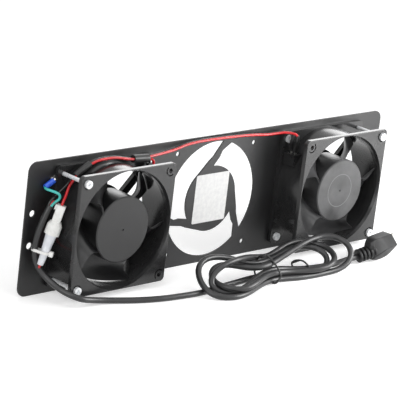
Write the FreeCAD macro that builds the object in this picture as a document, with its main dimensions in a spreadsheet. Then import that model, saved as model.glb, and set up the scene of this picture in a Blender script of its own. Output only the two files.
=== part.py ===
"""Rack fan panel, 19 inch and 3 units high, with two mains fans, their wiring and a tied mains cord.

Millimetres.  +X runs along the panel (to the right, seen from the fan side), +Y points out of the plain
front face, so the fans stand out towards -Y, and +Z is up.  The origin is the centre of the four rack
holes on the panel's rear face.
"""
import FreeCAD
import Part
import math
import os

import Sketcher
from FreeCAD import Placement, Rotation, Vector

doc = FreeCAD.newDocument("RackFanPanel")

# ---------------------------------------------------------------- driving dimensions (mm and degrees)
SIZES = {
    # panel
    "panel_width": 482.6,
    "panel_height": 132.5,
    "panel_thickness": 1.5,
    "panel_corner_radius": 9.5,
    "rack_hole_end_margin": 8.75,
    "rack_hole_rise": 31.75,
    "rack_hole_radius": 3.25,
    "fan_pitch": 150.0,
    # guard cut out of the sheet at each fan position
    "guard_rim_radius": 59.5,
    "guard_disc_radius": 34.0,
    "spoke_left_disc_angle": 128.5,
    "spoke_left_bend_radius": 40.2,
    "spoke_left_bend_angle": 101.6,
    "spoke_left_knee_radius": 43.9,
    "spoke_left_knee_angle": 93.3,
    "spoke_left_rim_angle": 80.8,
    "spoke_right_disc_angle": 91.5,
    "spoke_right_bend_radius": 43.3,
    "spoke_right_bend_angle": 81.1,
    "spoke_right_knee_radius": 49.8,
    "spoke_right_knee_angle": 79.1,
    "spoke_right_rim_angle": 69.8,
    # sticker on the middle disc
    "sticker_width": 45.0,
    "sticker_height": 50.5,
    "sticker_thickness": 0.25,
    "sticker_corner_radius": 1.5,
    "sticker_rise": 1.0,
    # fan housing
    "fan_size": 119.5,
    "fan_depth": 38.5,
    "flange_thickness": 4.5,
    "flange_corner_radius": 4.5,
    "flange_edge_round": 0.6,
    "fan_hole_inset": 7.35,
    "fan_hole_radius": 2.3,
    "barrel_margin": 0.15,
    "duct_margin": 2.55,
    "duct_mouth_margin": 0.85,
    "duct_mouth_depth": 7.0,
    "strut_width": 8.0,
    "strut_depth": 4.5,
    "strut_setback": 3.0,
    "motor_base_radius": 31.0,
    "motor_base_depth": 3.5,
    "bearing_tube_radius": 6.5,
    "bearing_tube_end": 29.5,
    "moat_inner_radius": 4.3,
    "moat_outer_radius": 5.6,
    "moat_depth": 2.4,
    "corner_relief": 14.0,
    "corner_relief_depth": 0.7,
    "terminal_block_offset": 51.0,
    "terminal_block_width": 11.0,
    "terminal_block_bottom": 27.0,
    "terminal_block_top": 39.0,
    "terminal_block_start": 5.0,
    "terminal_block_depth": 14.5,
    # terminals
    "tab_width": 2.8,
    "tab_thickness": 0.8,
    "tab_height": 6.0,
    "tab_first_depth": 9.5,
    "tab_pitch": 6.0,
    "receptacle_width": 4.6,
    "receptacle_thickness": 3.2,
    "receptacle_height": 11.0,
    "receptacle_standoff": 2.2,
    # motor
    "stator_radius": 22.2,
    "stator_start": 10.0,
    "stator_length": 14.0,
    "stator_slot_radius": 3.2,
    "stator_slot_circle": 14.0,
    "winding_inner_radius": 9.0,
    "winding_outer_radius": 19.0,
    "winding_overhang": 2.2,
    "winding_clearance": 0.1,
    "bearing_length": 5.0,
    "bearing_inset": 4.8,
    "bearing_fit": 0.02,
    "bearing_bore_radius": 4.0,
    "shaft_radius": 1.5,
    "shaft_clearance": 0.03,
    "shaft_end": 3.4,
    "clip_radius": 3.3,
    "clip_thickness": 0.6,
    "clip_setback": 3.9,
    "clip_groove_radius": 1.2,
    # rotor
    "hub_radius": 32.8,
    "hub_wall": 1.6,
    "hub_face_thickness": 2.0,
    "hub_face_setback": 1.8,
    "hub_length": 28.0,
    "hub_edge_round": 1.0,
    "hub_boss_radius": 4.5,
    "hub_boss_length": 3.4,
    "hub_dimple_radius": 1.2,
    "hub_dimple_depth": 0.6,
    "shaft_grip": 4.2,
    "rotor_ring_thickness": 7.6,
    "rotor_ring_length": 19.0,
    "rotor_ring_inset": 1.0,
    "blade_count": 5,
    "blade_thickness": 2.0,
    "blade_tip_clearance": 0.9,
    "blade_front_setback": 10.0,
    "blade_camber": 3.5,
    "left_rotor_angle": -26.5,
    "right_rotor_angle": -10.0,
    # fasteners
    "screw_radius": 1.95,
    "screw_head_radius": 4.0,
    "screw_head_height": 2.6,
    "screw_recess_radius": 1.7,
    "screw_recess_depth": 1.4,
    "screw_tail": 1.2,
    "nut_across_corners": 8.08,
    "nut_height": 3.2,
    "nut_bore_radius": 2.0,
    # wiring
    "lead_radius": 1.3,
    "lead_pair_half_gap": 1.36,
    "sleeve_radius": 3.1,
    "sleeve_wall": 0.4,
    "splice_radius": 3.9,
    "cord_radius": 3.0,
    "lead_ring_at_jacket": 1.6,
    "holder_cap_width": 8.4,
    "holder_cap_length": 16.0,
    "holder_collar_radius": 7.2,
    "holder_collar_length": 13.0,
    "holder_tube_radius": 5.4,
    "holder_tip_radius": 2.9,
    "holder_tube_length": 31.0,
    "crimp_sleeve_radius": 2.7,
    "crimp_sleeve_length": 11.0,
    "crimp_barrel_radius": 1.9,
    "crimp_setback": 10.0,
    "crimp_axis_depth": 3.2,
    "ring_outer_radius": 3.9,
    "ring_inner_radius": 2.1,
    "ring_thickness": 0.6,
    "tongue_width": 4.0,
    "tie_width": 2.6,
    "tie_thickness": 1.1,
    "tie_slack": 0.3,
    "tie_head_length": 5.2,
    "tie_head_width": 4.8,
    "tie_head_height": 4.2,
    # hank and plug
    "hank_thickness": 13.0,
    "hank_lean": 37.0,
    "hank_turn": 5.3,
    "hank_left_end": 121.0,
    "hank_left_half": 27.0,
    "hank_right_end": 86.0,
    "hank_right_half": 21.5,
    "hank_band": 9.5,
    "hank_waist_half": 15.0,
    "twist_tie_radius": 0.7,
    "twist_tie_slack": 0.4,
    "plug_turn": 20.0,
    "plug_back_width": 19.0,
    "plug_back_height": 18.0,
    "plug_face_width": 28.0,
    "plug_face_height": 26.2,
    "plug_corner_radius": 7.0,
    "plug_taper_length": 15.0,
    "plug_face_length": 6.0,
    "plug_pin_radius": 2.4,
    "plug_pin_length": 19.0,
    "plug_pin_half_gap": 8.0,
    "relief_start_radius": 6.6,
    "relief_end_radius": 7.2,
    "relief_length": 22.0,
}

sheet = doc.addObject("Spreadsheet::Sheet", "Dims")
for row, (alias, value) in enumerate(SIZES.items(), start=1):
    sheet.set(f"A{row}", alias)
    sheet.set(f"B{row}", str(value))
    sheet.setAlias(f"B{row}", alias)
doc.recompute()


def size(alias):
    """The value of one named cell."""
    return float(getattr(sheet, alias))


# reaches that several pieces share
FAN_HOLE_REACH = "(Dims.fan_size / 2 - Dims.fan_hole_inset)"
DUCT_RADIUS = "(Dims.fan_size / 2 - Dims.duct_margin)"


NODES = []


def node(obj, label):
    """Give a finished sub-part its label and list it for export."""
    obj.Label = label
    NODES.append(obj)
    return obj


# ---------------------------------------------------------------- helpers for bodies and sketches
def bind(obj, **expressions):
    """Bind properties of an object to expressions of the sheet's cells."""
    for name, expression in expressions.items():
        obj.setExpression(name, expression)


def place(obj, x="0", y="0", z="0"):
    """Bind an object's position."""
    obj.setExpression("Placement.Base.x", x)
    obj.setExpression("Placement.Base.y", y)
    obj.setExpression("Placement.Base.z", z)


def new_body(name):
    return doc.addObject("PartDesign::Body", name)


def origin_plane(body, role):
    return next(item for item in body.Origin.OriginFeatures if item.Role == role)


def new_sketch(body, name, role="XZ_Plane", offset="0", turn=0.0, shift_x="0"):
    """A sketch on one of the body's own planes.

    On XZ_Plane its x is +X, its y is +Z and its normal is -Y, so offset counts towards -Y.
    On XY_Plane its x is the radius and its y the distance along +Y.  On YZ_Plane its x is +Y, its y is +Z.
    """
    sketch = body.newObject("Sketcher::SketchObject", name)
    sketch.AttachmentSupport = [(origin_plane(body, role), "")]
    sketch.MapMode = "FlatFace"
    sketch.AttachmentOffset = Placement(Vector(0, 0, 0), Rotation(Vector(0, 0, 1), turn))
    sketch.setExpression("AttachmentOffset.Base.z", offset)
    sketch.setExpression("AttachmentOffset.Base.x", shift_x)
    return sketch


def dimension(sketch, kind, *arguments, to):
    """Add a dimensional constraint and bind it to an expression."""
    index = sketch.addConstraint(Sketcher.Constraint(kind, *arguments))
    sketch.setExpression(f"Constraints[{index}]", to)


def rounded_rectangle(sketch, width, height, radius, rise="0"):
    """A rounded rectangle, centred on the sketch's y axis, its centre raised by rise."""
    half_w, half_h, r = 20.0, 15.0, 3.0
    corners = [(half_w, half_h, 0), (-half_w, half_h, 90), (-half_w, -half_h, 180), (half_w, -half_h, 270)]
    arcs = []
    for x, y, start in corners:
        centre = Vector(x - math.copysign(r, x), y - math.copysign(r, y), 0)
        circle = Part.Circle(centre, Vector(0, 0, 1), r)
        corner = Part.ArcOfCircle(circle, math.radians(start), math.radians(start + 90))
        arcs.append(sketch.addGeometry(corner))
    ends = [(arc, (sketch.Geometry[arc].StartPoint, sketch.Geometry[arc].EndPoint)) for arc in arcs]
    lines = []
    for k in range(4):
        start = ends[k][1][1]
        finish = ends[(k + 1) % 4][1][0]
        lines.append(sketch.addGeometry(Part.LineSegment(start, finish)))
    for k in range(4):
        sketch.addConstraint(Sketcher.Constraint("Tangent", arcs[k], 2, lines[k], 1))
        sketch.addConstraint(Sketcher.Constraint("Tangent", lines[k], 2, arcs[(k + 1) % 4], 1))
    sketch.addConstraint(Sketcher.Constraint("Horizontal", lines[2]))
    for k in (1, 3):
        sketch.addConstraint(Sketcher.Constraint("Vertical", lines[k]))
    for k in range(1, 4):
        sketch.addConstraint(Sketcher.Constraint("Equal", arcs[0], arcs[k]))
    sketch.addConstraint(Sketcher.Constraint("Symmetric", lines[0], 1, lines[0], 2, -2))
    dimension(sketch, "Radius", arcs[0], r, to=radius)
    dimension(sketch, "DistanceX", lines[1], 1, lines[3], 1, 2 * half_w, to=width)
    dimension(sketch, "DistanceY", lines[2], 1, lines[0], 1, 2 * half_h, to=height)
    dimension(sketch, "DistanceY", -1, 1, lines[0], 1, half_h, to=f"({height}) / 2 + ({rise})")


def circle(sketch, radius, x=None, y=None):
    """A circle on the sketch's origin, or at bound coordinates."""
    index = sketch.addGeometry(Part.Circle(Vector(0, 0, 0), Vector(0, 0, 1), 1.0))
    dimension(sketch, "Radius", index, 1.0, to=radius)
    if x is None:
        sketch.addConstraint(Sketcher.Constraint("Coincident", index, 3, -1, 1))
    else:
        dimension(sketch, "DistanceX", -1, 1, index, 3, 1.0, to=x)
        dimension(sketch, "DistanceY", -1, 1, index, 3, 1.0, to=y)
    return index


def polygon(sketch, points):
    """A closed outline through corners given as pairs of expressions."""
    values = [(sheet_value(x), sheet_value(y)) for x, y in points]
    count = len(points)
    lines = []
    for k in range(count):
        start = Vector(*values[k], 0)
        finish = Vector(*values[(k + 1) % count], 0)
        lines.append(sketch.addGeometry(Part.LineSegment(start, finish)))
    for k in range(count):
        sketch.addConstraint(Sketcher.Constraint("Coincident", lines[k], 2, lines[(k + 1) % count], 1))
    for k in range(count):
        dimension(sketch, "DistanceX", -1, 1, lines[k], 1, values[k][0], to=points[k][0])
        dimension(sketch, "DistanceY", -1, 1, lines[k], 1, values[k][1], to=points[k][1])
    return lines


def sheet_value(expression):
    """The present value of an expression of the sheet's cells."""
    return float(sheet.evalExpression(expression))


def pad(body, sketch, name, length, towards_front=False):
    """Extrude a sketch; from XZ_Plane this goes towards -Y unless towards_front is set."""
    feature = body.newObject("PartDesign::Pad", name)
    feature.Profile = sketch
    feature.Reversed = towards_front
    bind(feature, Length=length)
    return feature


def pocket(body, sketch, name, length=None, towards_front=False):
    """Cut a sketch into the body; without a length it goes right through."""
    doc.recompute()
    before = body.Shape.Volume
    feature = body.newObject("PartDesign::Pocket", name)
    feature.Profile = sketch
    feature.Reversed = not towards_front
    if length is None:
        feature.Type = "ThroughAll"
    else:
        bind(feature, Length=length)
    doc.recompute()
    if feature.Shape.Volume >= before - 1e-6:
        raise RuntimeError(f"{name} cuts nothing")
    return feature


def revolve(body, sketch, name, kind="PartDesign::Revolution"):
    """Turn a sketch on XY_Plane round the body's own +Y axis."""
    feature = body.newObject(kind, name)
    feature.Profile = sketch
    feature.ReferenceAxis = (sketch, ["V_Axis"])
    feature.Angle = 360
    return feature


def polar_pattern(body, feature, name, count, axis_sketch):
    """Repeat a feature round the fan's axis, which is the normal of axis_sketch."""
    pattern = body.newObject("PartDesign::PolarPattern", name)
    pattern.Originals = [feature]
    pattern.Axis = (axis_sketch, ["N_Axis"])
    pattern.Angle = 360
    bind(pattern, Occurrences=count)
    body.Tip = pattern
    return pattern


# ---------------------------------------------------------------- helpers for primitives
TOWARDS_REAR = Rotation(Vector(1, 0, 0), 90)


def rod(name, radius, length, start="0", x="0", z="0"):
    """A cylinder along -Y that starts at the distance start behind the panel's rear face."""
    item = doc.addObject("Part::Cylinder", name)
    item.Placement = Placement(Vector(0, 0, 0), TOWARDS_REAR)
    bind(item, Radius=radius, Height=length)
    place(item, x=x, y=f"-({start})", z=z)
    return item


def cut(name, base, tool):
    item = doc.addObject("Part::Cut", name)
    item.Base = base
    item.Tool = tool
    return item


def fuse(name, parts):
    item = doc.addObject("Part::MultiFuse", name)
    item.Shapes = parts
    return item


def group(name, parts):
    item = doc.addObject("Part::Compound", name)
    item.Links = parts
    return item


def ring(name, outer, inner, length, start="0", x="0", z="0"):
    return cut(name, rod(f"{name}_outer", outer, length, start, x, z),
               rod(f"{name}_bore", inner, length, start, x, z))


def solid_feature(name, shape):
    """A sub-part whose shape is made by Part's own functions."""
    item = doc.addObject("Part::Feature", name)
    item.Shape = shape
    return item


# ---------------------------------------------------------------- panel
panel = new_body("panel_body")
outline = new_sketch(panel, "panel_outline")
rounded_rectangle(outline, "Dims.panel_width", "Dims.panel_height", "Dims.panel_corner_radius")
pad(panel, outline, "panel_sheet", "Dims.panel_thickness", towards_front=True)
doc.recompute()

rack_holes = new_sketch(panel, "rack_hole_circles")
for x_sign in ("-", ""):
    for z_sign in ("-", ""):
        circle(rack_holes, "Dims.rack_hole_radius",
               f"{x_sign}(Dims.panel_width / 2 - Dims.rack_hole_end_margin)", f"{z_sign}Dims.rack_hole_rise / 2")
pocket(panel, rack_holes, "rack_hole_cuts", towards_front=True)

fan_holes = new_sketch(panel, "fan_hole_circles")
for position in (-1, 0, 1):
    for x_sign in (-1, 1):
        for z_sign in ("-", ""):
            circle(
                fan_holes,
                "Dims.fan_hole_radius",
                f"{position} * Dims.fan_pitch + {x_sign} * {FAN_HOLE_REACH}",
                f"{z_sign}{FAN_HOLE_REACH}",
            )
pocket(panel, fan_holes, "fan_hole_cuts", towards_front=True)

SPOKES = 3
SPOKE_STEP = 360 / SPOKES


def guard_opening(sketch, turn):
    """One opening between two swept spokes: rim arc, spoke edge, disc arc, spoke edge."""
    def corner(radius, angle, shift):
        return f"Dims.{radius} * cos(Dims.{angle} - {shift})", f"Dims.{radius} * sin(Dims.{angle} - {shift})"

    near = turn
    far = turn + SPOKE_STEP
    right_edge = [
        corner("guard_rim_radius", "spoke_right_rim_angle", near),
        corner("spoke_right_knee_radius", "spoke_right_knee_angle", near),
        corner("spoke_right_bend_radius", "spoke_right_bend_angle", near),
        corner("guard_disc_radius", "spoke_right_disc_angle", near),
    ]
    left_edge = [
        corner("guard_disc_radius", "spoke_left_disc_angle", far),
        corner("spoke_left_bend_radius", "spoke_left_bend_angle", far),
        corner("spoke_left_knee_radius", "spoke_left_knee_angle", far),
        corner("guard_rim_radius", "spoke_left_rim_angle", far),
    ]
    edges = {}
    for name, corners in (("right", right_edge), ("left", left_edge)):
        points = [Vector(sheet_value(x), sheet_value(y), 0) for x, y in corners]
        lines = [sketch.addGeometry(Part.LineSegment(points[k], points[k + 1])) for k in range(3)]
        for k in range(2):
            sketch.addConstraint(Sketcher.Constraint("Coincident", lines[k], 2, lines[k + 1], 1))
        for k in range(1, 3):
            dimension(sketch, "DistanceX", -1, 1, lines[k], 1, points[k].x, to=corners[k][0])
            dimension(sketch, "DistanceY", -1, 1, lines[k], 1, points[k].y, to=corners[k][1])
        edges[name] = (lines, points, corners)

    def round_edge(radius, start_angle, end_angle, start_join, end_join):
        """An arc about the fan's axis whose ends lie at bound angles."""
        value = sheet_value(radius)
        first, last = (math.radians(sheet_value(angle)) for angle in (start_angle, end_angle))
        base = Part.Circle(Vector(0, 0, 0), Vector(0, 0, 1), value)
        arc = sketch.addGeometry(Part.ArcOfCircle(base, first, last))
        sketch.addConstraint(Sketcher.Constraint("Coincident", arc, 3, -1, 1))
        dimension(sketch, "Radius", arc, value, to=radius)
        for place_on_arc, angle, join in ((1, start_angle, start_join), (2, end_angle, end_join)):
            sketch.addConstraint(Sketcher.Constraint("Coincident", arc, place_on_arc, *join))
            radians = math.radians(sheet_value(angle))
            if abs(math.sin(radians)) > abs(math.cos(radians)):
                dimension(sketch, "DistanceX", -1, 1, arc, place_on_arc, value * math.cos(radians),
                          to=f"{radius} * cos({angle})")
            else:
                dimension(sketch, "DistanceY", -1, 1, arc, place_on_arc, value * math.sin(radians),
                          to=f"{radius} * sin({angle})")

    right_lines, left_lines = edges["right"][0], edges["left"][0]
    round_edge("Dims.guard_rim_radius", f"Dims.spoke_left_rim_angle - {far}", f"Dims.spoke_right_rim_angle - {near}",
               (left_lines[2], 2), (right_lines[0], 1))
    round_edge("Dims.guard_disc_radius", f"Dims.spoke_left_disc_angle - {far}", f"Dims.spoke_right_disc_angle - {near}",
               (left_lines[0], 1), (right_lines[2], 2))


guard = new_sketch(panel, "guard_openings", shift_x="-Dims.fan_pitch")
for k in range(SPOKES):
    guard_opening(guard, k * SPOKE_STEP)
guard_cut = pocket(panel, guard, "guard_cut", towards_front=True)
guard_row = panel.newObject("PartDesign::LinearPattern", "guard_row")
guard_row.Originals = [guard_cut]
guard_row.Direction = (guard, ["H_Axis"])
bind(guard_row, Length="2 * Dims.fan_pitch")
guard_row.Occurrences = 3
panel.Tip = guard_row
node(panel, "panel")

sticker = new_body("sticker_body")
sticker_outline = new_sketch(sticker, "sticker_outline")
rounded_rectangle(sticker_outline, "Dims.sticker_width", "Dims.sticker_height", "Dims.sticker_corner_radius",
                  rise="Dims.sticker_rise")
pad(sticker, sticker_outline, "sticker_film", "Dims.sticker_thickness")
node(sticker, "guard_sticker")


# ---------------------------------------------------------------- fan housing
def housing(side_name, side):
    """Moulded frame: two flanges on a round barrel, four struts, motor base, bearing tube, terminal block."""
    body = new_body(f"{side_name}_housing_body")
    place(body, x=f"{side} * Dims.fan_pitch")

    front = new_sketch(body, "front_flange_outline")
    rounded_rectangle(front, "Dims.fan_size", "Dims.fan_size", "Dims.flange_corner_radius")
    pad(body, front, "front_flange", "Dims.flange_thickness")

    barrel = new_sketch(body, "barrel_circle")
    circle(barrel, "Dims.fan_size / 2 - Dims.barrel_margin")
    pad(body, barrel, "barrel", "Dims.fan_depth")

    block = new_sketch(body, "terminal_block_outline", offset="Dims.terminal_block_start")
    middle = f"{-side} * Dims.terminal_block_offset"
    polygon(block, [
        (f"{middle} - Dims.terminal_block_width / 2", "Dims.terminal_block_bottom"),
        (f"{middle} + Dims.terminal_block_width / 2", "Dims.terminal_block_bottom"),
        (f"{middle} + Dims.terminal_block_width / 2", "Dims.terminal_block_top"),
        (f"{middle} - Dims.terminal_block_width / 2", "Dims.terminal_block_top"),
    ])
    pad(body, block, "terminal_block", "Dims.terminal_block_depth")

    rear = new_sketch(body, "rear_flange_outline", offset="Dims.fan_depth - Dims.flange_thickness")
    rounded_rectangle(rear, "Dims.fan_size", "Dims.fan_size", "Dims.flange_corner_radius")
    rear_flange = pad(body, rear, "rear_flange", "Dims.flange_thickness")
    doc.recompute()

    rear_y = -size("fan_depth")
    rim = [f"Edge{k}" for k, edge in enumerate(rear_flange.Shape.Edges, start=1)
           if all(abs(vertex.Point.y - rear_y) < 1e-4 for vertex in edge.Vertexes)]
    softened = body.newObject("PartDesign::Fillet", "rear_edge_round")
    softened.Base = (rear_flange, rim)
    bind(softened, Radius="Dims.flange_edge_round")

    duct = new_sketch(body, "duct_profile", role="XY_Plane")
    polygon(duct, [
        ("0", "1"),
        (DUCT_RADIUS, "1"),
        (DUCT_RADIUS, "-Dims.fan_depth + Dims.duct_mouth_depth"),
        (f"{DUCT_RADIUS} + (Dims.duct_margin - Dims.duct_mouth_margin) * 0.3",
         "-Dims.fan_depth + Dims.duct_mouth_depth * 0.45"),
        ("Dims.fan_size / 2 - Dims.duct_mouth_margin", "-Dims.fan_depth"),
        ("Dims.fan_size / 2 - Dims.duct_mouth_margin", "-Dims.fan_depth - 1"),
        ("0", "-Dims.fan_depth - 1"),
    ])
    revolve(body, duct, "duct", "PartDesign::Groove")
    doc.recompute()

    strut = new_sketch(body, "strut_outline", offset="Dims.strut_setback", turn=45)
    polygon(strut, [
        ("Dims.motor_base_radius - 6", "-Dims.strut_width / 2"),
        (f"{DUCT_RADIUS} + 1", "-Dims.strut_width / 2"),
        (f"{DUCT_RADIUS} + 1", "Dims.strut_width / 2"),
        ("Dims.motor_base_radius - 6", "Dims.strut_width / 2"),
    ])
    strut_pad = pad(body, strut, "strut", "Dims.strut_depth")
    polar_pattern(body, strut_pad, "four_struts", "4", strut)

    base = new_sketch(body, "motor_base_circle", offset="Dims.strut_setback")
    circle(base, "Dims.motor_base_radius")
    pad(body, base, "motor_base", "Dims.motor_base_depth")

    tube_circle = new_sketch(body, "bearing_tube_circle", offset="Dims.strut_setback")
    circle(tube_circle, "Dims.bearing_tube_radius")
    pad(body, tube_circle, "bearing_tube", "Dims.bearing_tube_end - Dims.strut_setback")

    bore = new_sketch(body, "bearing_bore_circle")
    circle(bore, "Dims.bearing_bore_radius")
    doc.recompute()
    pocket(body, bore, "bearing_bore")

    holes = new_sketch(body, "corner_hole_circles")
    for x_sign in ("-", ""):
        for z_sign in ("-", ""):
            circle(holes, "Dims.fan_hole_radius", f"{x_sign}{FAN_HOLE_REACH}", f"{z_sign}{FAN_HOLE_REACH}")
    pocket(body, holes, "corner_holes")

    relief = new_sketch(body, "corner_relief_outline")
    polygon(relief, [
        ("Dims.fan_size / 2 - Dims.corner_relief", "Dims.fan_size / 2 - Dims.corner_relief"),
        ("Dims.fan_size / 2 + 1", "Dims.fan_size / 2 - Dims.corner_relief"),
        ("Dims.fan_size / 2 + 1", "Dims.fan_size / 2 + 1"),
        ("Dims.fan_size / 2 - Dims.corner_relief", "Dims.fan_size / 2 + 1"),
    ])
    relief_cut = pocket(body, relief, "corner_relief", "Dims.corner_relief_depth")
    polar_pattern(body, relief_cut, "corner_reliefs", "4", relief)

    moat = new_sketch(body, "moat_outline", offset="Dims.fan_depth", turn=45)
    centre = f"{FAN_HOLE_REACH} * sqrt(2)"
    centre_value = sheet_value(centre)
    arcs = []
    for radius in ("Dims.moat_inner_radius", "Dims.moat_outer_radius"):
        value = sheet_value(radius)
        base_circle = Part.Circle(Vector(centre_value, 0, 0), Vector(0, 0, 1), value)
        arc = moat.addGeometry(Part.ArcOfCircle(base_circle, math.radians(90), math.radians(270)))
        moat.addConstraint(Sketcher.Constraint("PointOnObject", arc, 3, -1))
        dimension(moat, "DistanceX", -1, 1, arc, 3, centre_value, to=centre)
        dimension(moat, "Radius", arc, value, to=radius)
        arcs.append(arc)
    for end, height in ((1, 1), (2, -1)):
        points = [Vector(centre_value, height * sheet_value(radius), 0)
                  for radius in ("Dims.moat_inner_radius", "Dims.moat_outer_radius")]
        line = moat.addGeometry(Part.LineSegment(*points))
        moat.addConstraint(Sketcher.Constraint("Coincident", line, 1, arcs[0], end))
        moat.addConstraint(Sketcher.Constraint("Coincident", line, 2, arcs[1], end))
        moat.addConstraint(Sketcher.Constraint("Vertical", line))
        moat.addConstraint(Sketcher.Constraint("Vertical", arcs[0], end, arcs[0], 3))
    doc.recompute()
    moat_cut = pocket(body, moat, "screw_boss_moat", "Dims.moat_depth", towards_front=True)
    polar_pattern(body, moat_cut, "screw_boss_moats", "4", moat)
    return node(body, f"{side_name}_housing")


# ---------------------------------------------------------------- motor inside each fan
def motor(side_name, side):
    """Stator laminations, windings, bearings and terminals, all carried by the housing."""
    x = f"{side} * Dims.fan_pitch"

    core = ring(f"{side_name}_core_ring", "Dims.stator_radius", "Dims.bearing_tube_radius + Dims.bearing_fit",
                "Dims.stator_length", "Dims.stator_start", x)
    slots = []
    fills = []
    for k in range(4):
        slot_x = f"{x} + Dims.stator_slot_circle * cos({45 + 90 * k})"
        slot_z = f"Dims.stator_slot_circle * sin({45 + 90 * k})"
        slots.append(rod(f"{side_name}_slot_{k}", "Dims.stator_slot_radius", "Dims.stator_length",
                         "Dims.stator_start", slot_x, slot_z))
        fills.append(rod(f"{side_name}_slot_fill_{k}", "Dims.stator_slot_radius - Dims.winding_clearance",
                         "Dims.stator_length", "Dims.stator_start", slot_x, slot_z))
    node(cut(f"{side_name}_core", core, fuse(f"{side_name}_slots", slots)), f"{side_name}_stator_core")

    ends = []
    for name, start in (("near", "Dims.stator_start - Dims.winding_overhang"),
                        ("far", "Dims.stator_start + Dims.stator_length")):
        ends.append(ring(f"{side_name}_coil_{name}", "Dims.winding_outer_radius", "Dims.winding_inner_radius",
                         "Dims.winding_overhang", start, x))
    node(fuse(f"{side_name}_coils", ends + fills), f"{side_name}_windings")

    bearings = []
    for name, start in (("near", "Dims.bearing_inset"),
                        ("far", "Dims.bearing_tube_end - Dims.bearing_length")):
        bearings.append(ring(f"{side_name}_bearing_{name}", "Dims.bearing_bore_radius - Dims.bearing_fit",
                             "Dims.shaft_radius + Dims.shaft_clearance", "Dims.bearing_length", start, x))
    node(group(f"{side_name}_bearing_pair", bearings), f"{side_name}_bearings")

    tabs = []
    sockets = []
    middle = f"{side} * (Dims.fan_pitch - Dims.terminal_block_offset)"
    for k in range(2):
        depth = f"Dims.tab_first_depth + {k} * Dims.tab_pitch"
        tab = doc.addObject("Part::Box", f"{side_name}_tab_{k}")
        bind(tab, Length="Dims.tab_width", Width="Dims.tab_thickness", Height="Dims.tab_height")
        place(tab, f"{middle} - Dims.tab_width / 2", f"-({depth}) - Dims.tab_thickness / 2", "Dims.terminal_block_top")
        tabs.append(tab)
        shell = doc.addObject("Part::Box", f"{side_name}_receptacle_{k}")
        bind(shell, Length="Dims.receptacle_width", Width="Dims.receptacle_thickness",
             Height="Dims.receptacle_height")
        place(shell, f"{middle} - Dims.receptacle_width / 2", f"-({depth}) - Dims.receptacle_thickness / 2",
              "Dims.terminal_block_top + Dims.receptacle_standoff")
        sockets.append(cut(f"{side_name}_receptacle_shell_{k}", shell, tab))
    node(group(f"{side_name}_tab_pair", tabs), f"{side_name}_spade_tabs")
    node(group(f"{side_name}_receptacle_pair", sockets), f"{side_name}_receptacles")


# ---------------------------------------------------------------- rotor of each fan
# Sections of a blade, from inside the hub to past the tip: distance from the axis, the angles of the rear
# and front edges about the blade's own radius, and how far the rear edge lies inside the fan.  The rear
# edge bends to and fro in an S.
BLADE_SECTIONS = ((23.0, 26.5, -25.0, 2.4), (29.7, 26.0, -25.0, 2.6), (38.6, 19.8, -24.0, 3.5),
                  (44.2, 23.0, -22.7, 4.4),
                  (48.5, 26.3, -21.3, 5.0), (57.0, 26.5, -18.3, 5.6))


def blade_section(body, number, distance, rear_angle, front_angle, rear_setback):
    """Closed cambered section on a plane square to the blade's radius: two arcs and two blunt ends."""
    sketch = new_sketch(body, f"blade_section_{number}", role="YZ_Plane", offset=str(distance))
    rear_y = -size("fan_depth") + rear_setback
    front_y = -size("blade_front_setback")
    rear = Vector(rear_y, distance * math.tan(math.radians(rear_angle)), 0)
    front = Vector(front_y, distance * math.tan(math.radians(front_angle)), 0)
    along = (front - rear).normalize()
    across = Vector(-along.y, along.x, 0)
    half = size("blade_thickness") / 2
    middle = (rear + front) * 0.5 + across * size("blade_camber")
    corners = [rear + across * half * 0.6, front + across * half * 0.6,
               front - across * half * 0.6, rear - across * half * 0.6]
    upper = sketch.addGeometry(Part.Arc(corners[0], middle + across * half, corners[1]))
    tip = sketch.addGeometry(Part.LineSegment(corners[1], corners[2]))
    lower = sketch.addGeometry(Part.Arc(corners[2], middle - across * half, corners[3]))
    tail = sketch.addGeometry(Part.LineSegment(corners[3], corners[0]))
    for index in (upper, tip, lower, tail):
        sketch.addConstraint(Sketcher.Constraint("Block", index))
    return sketch


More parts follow.
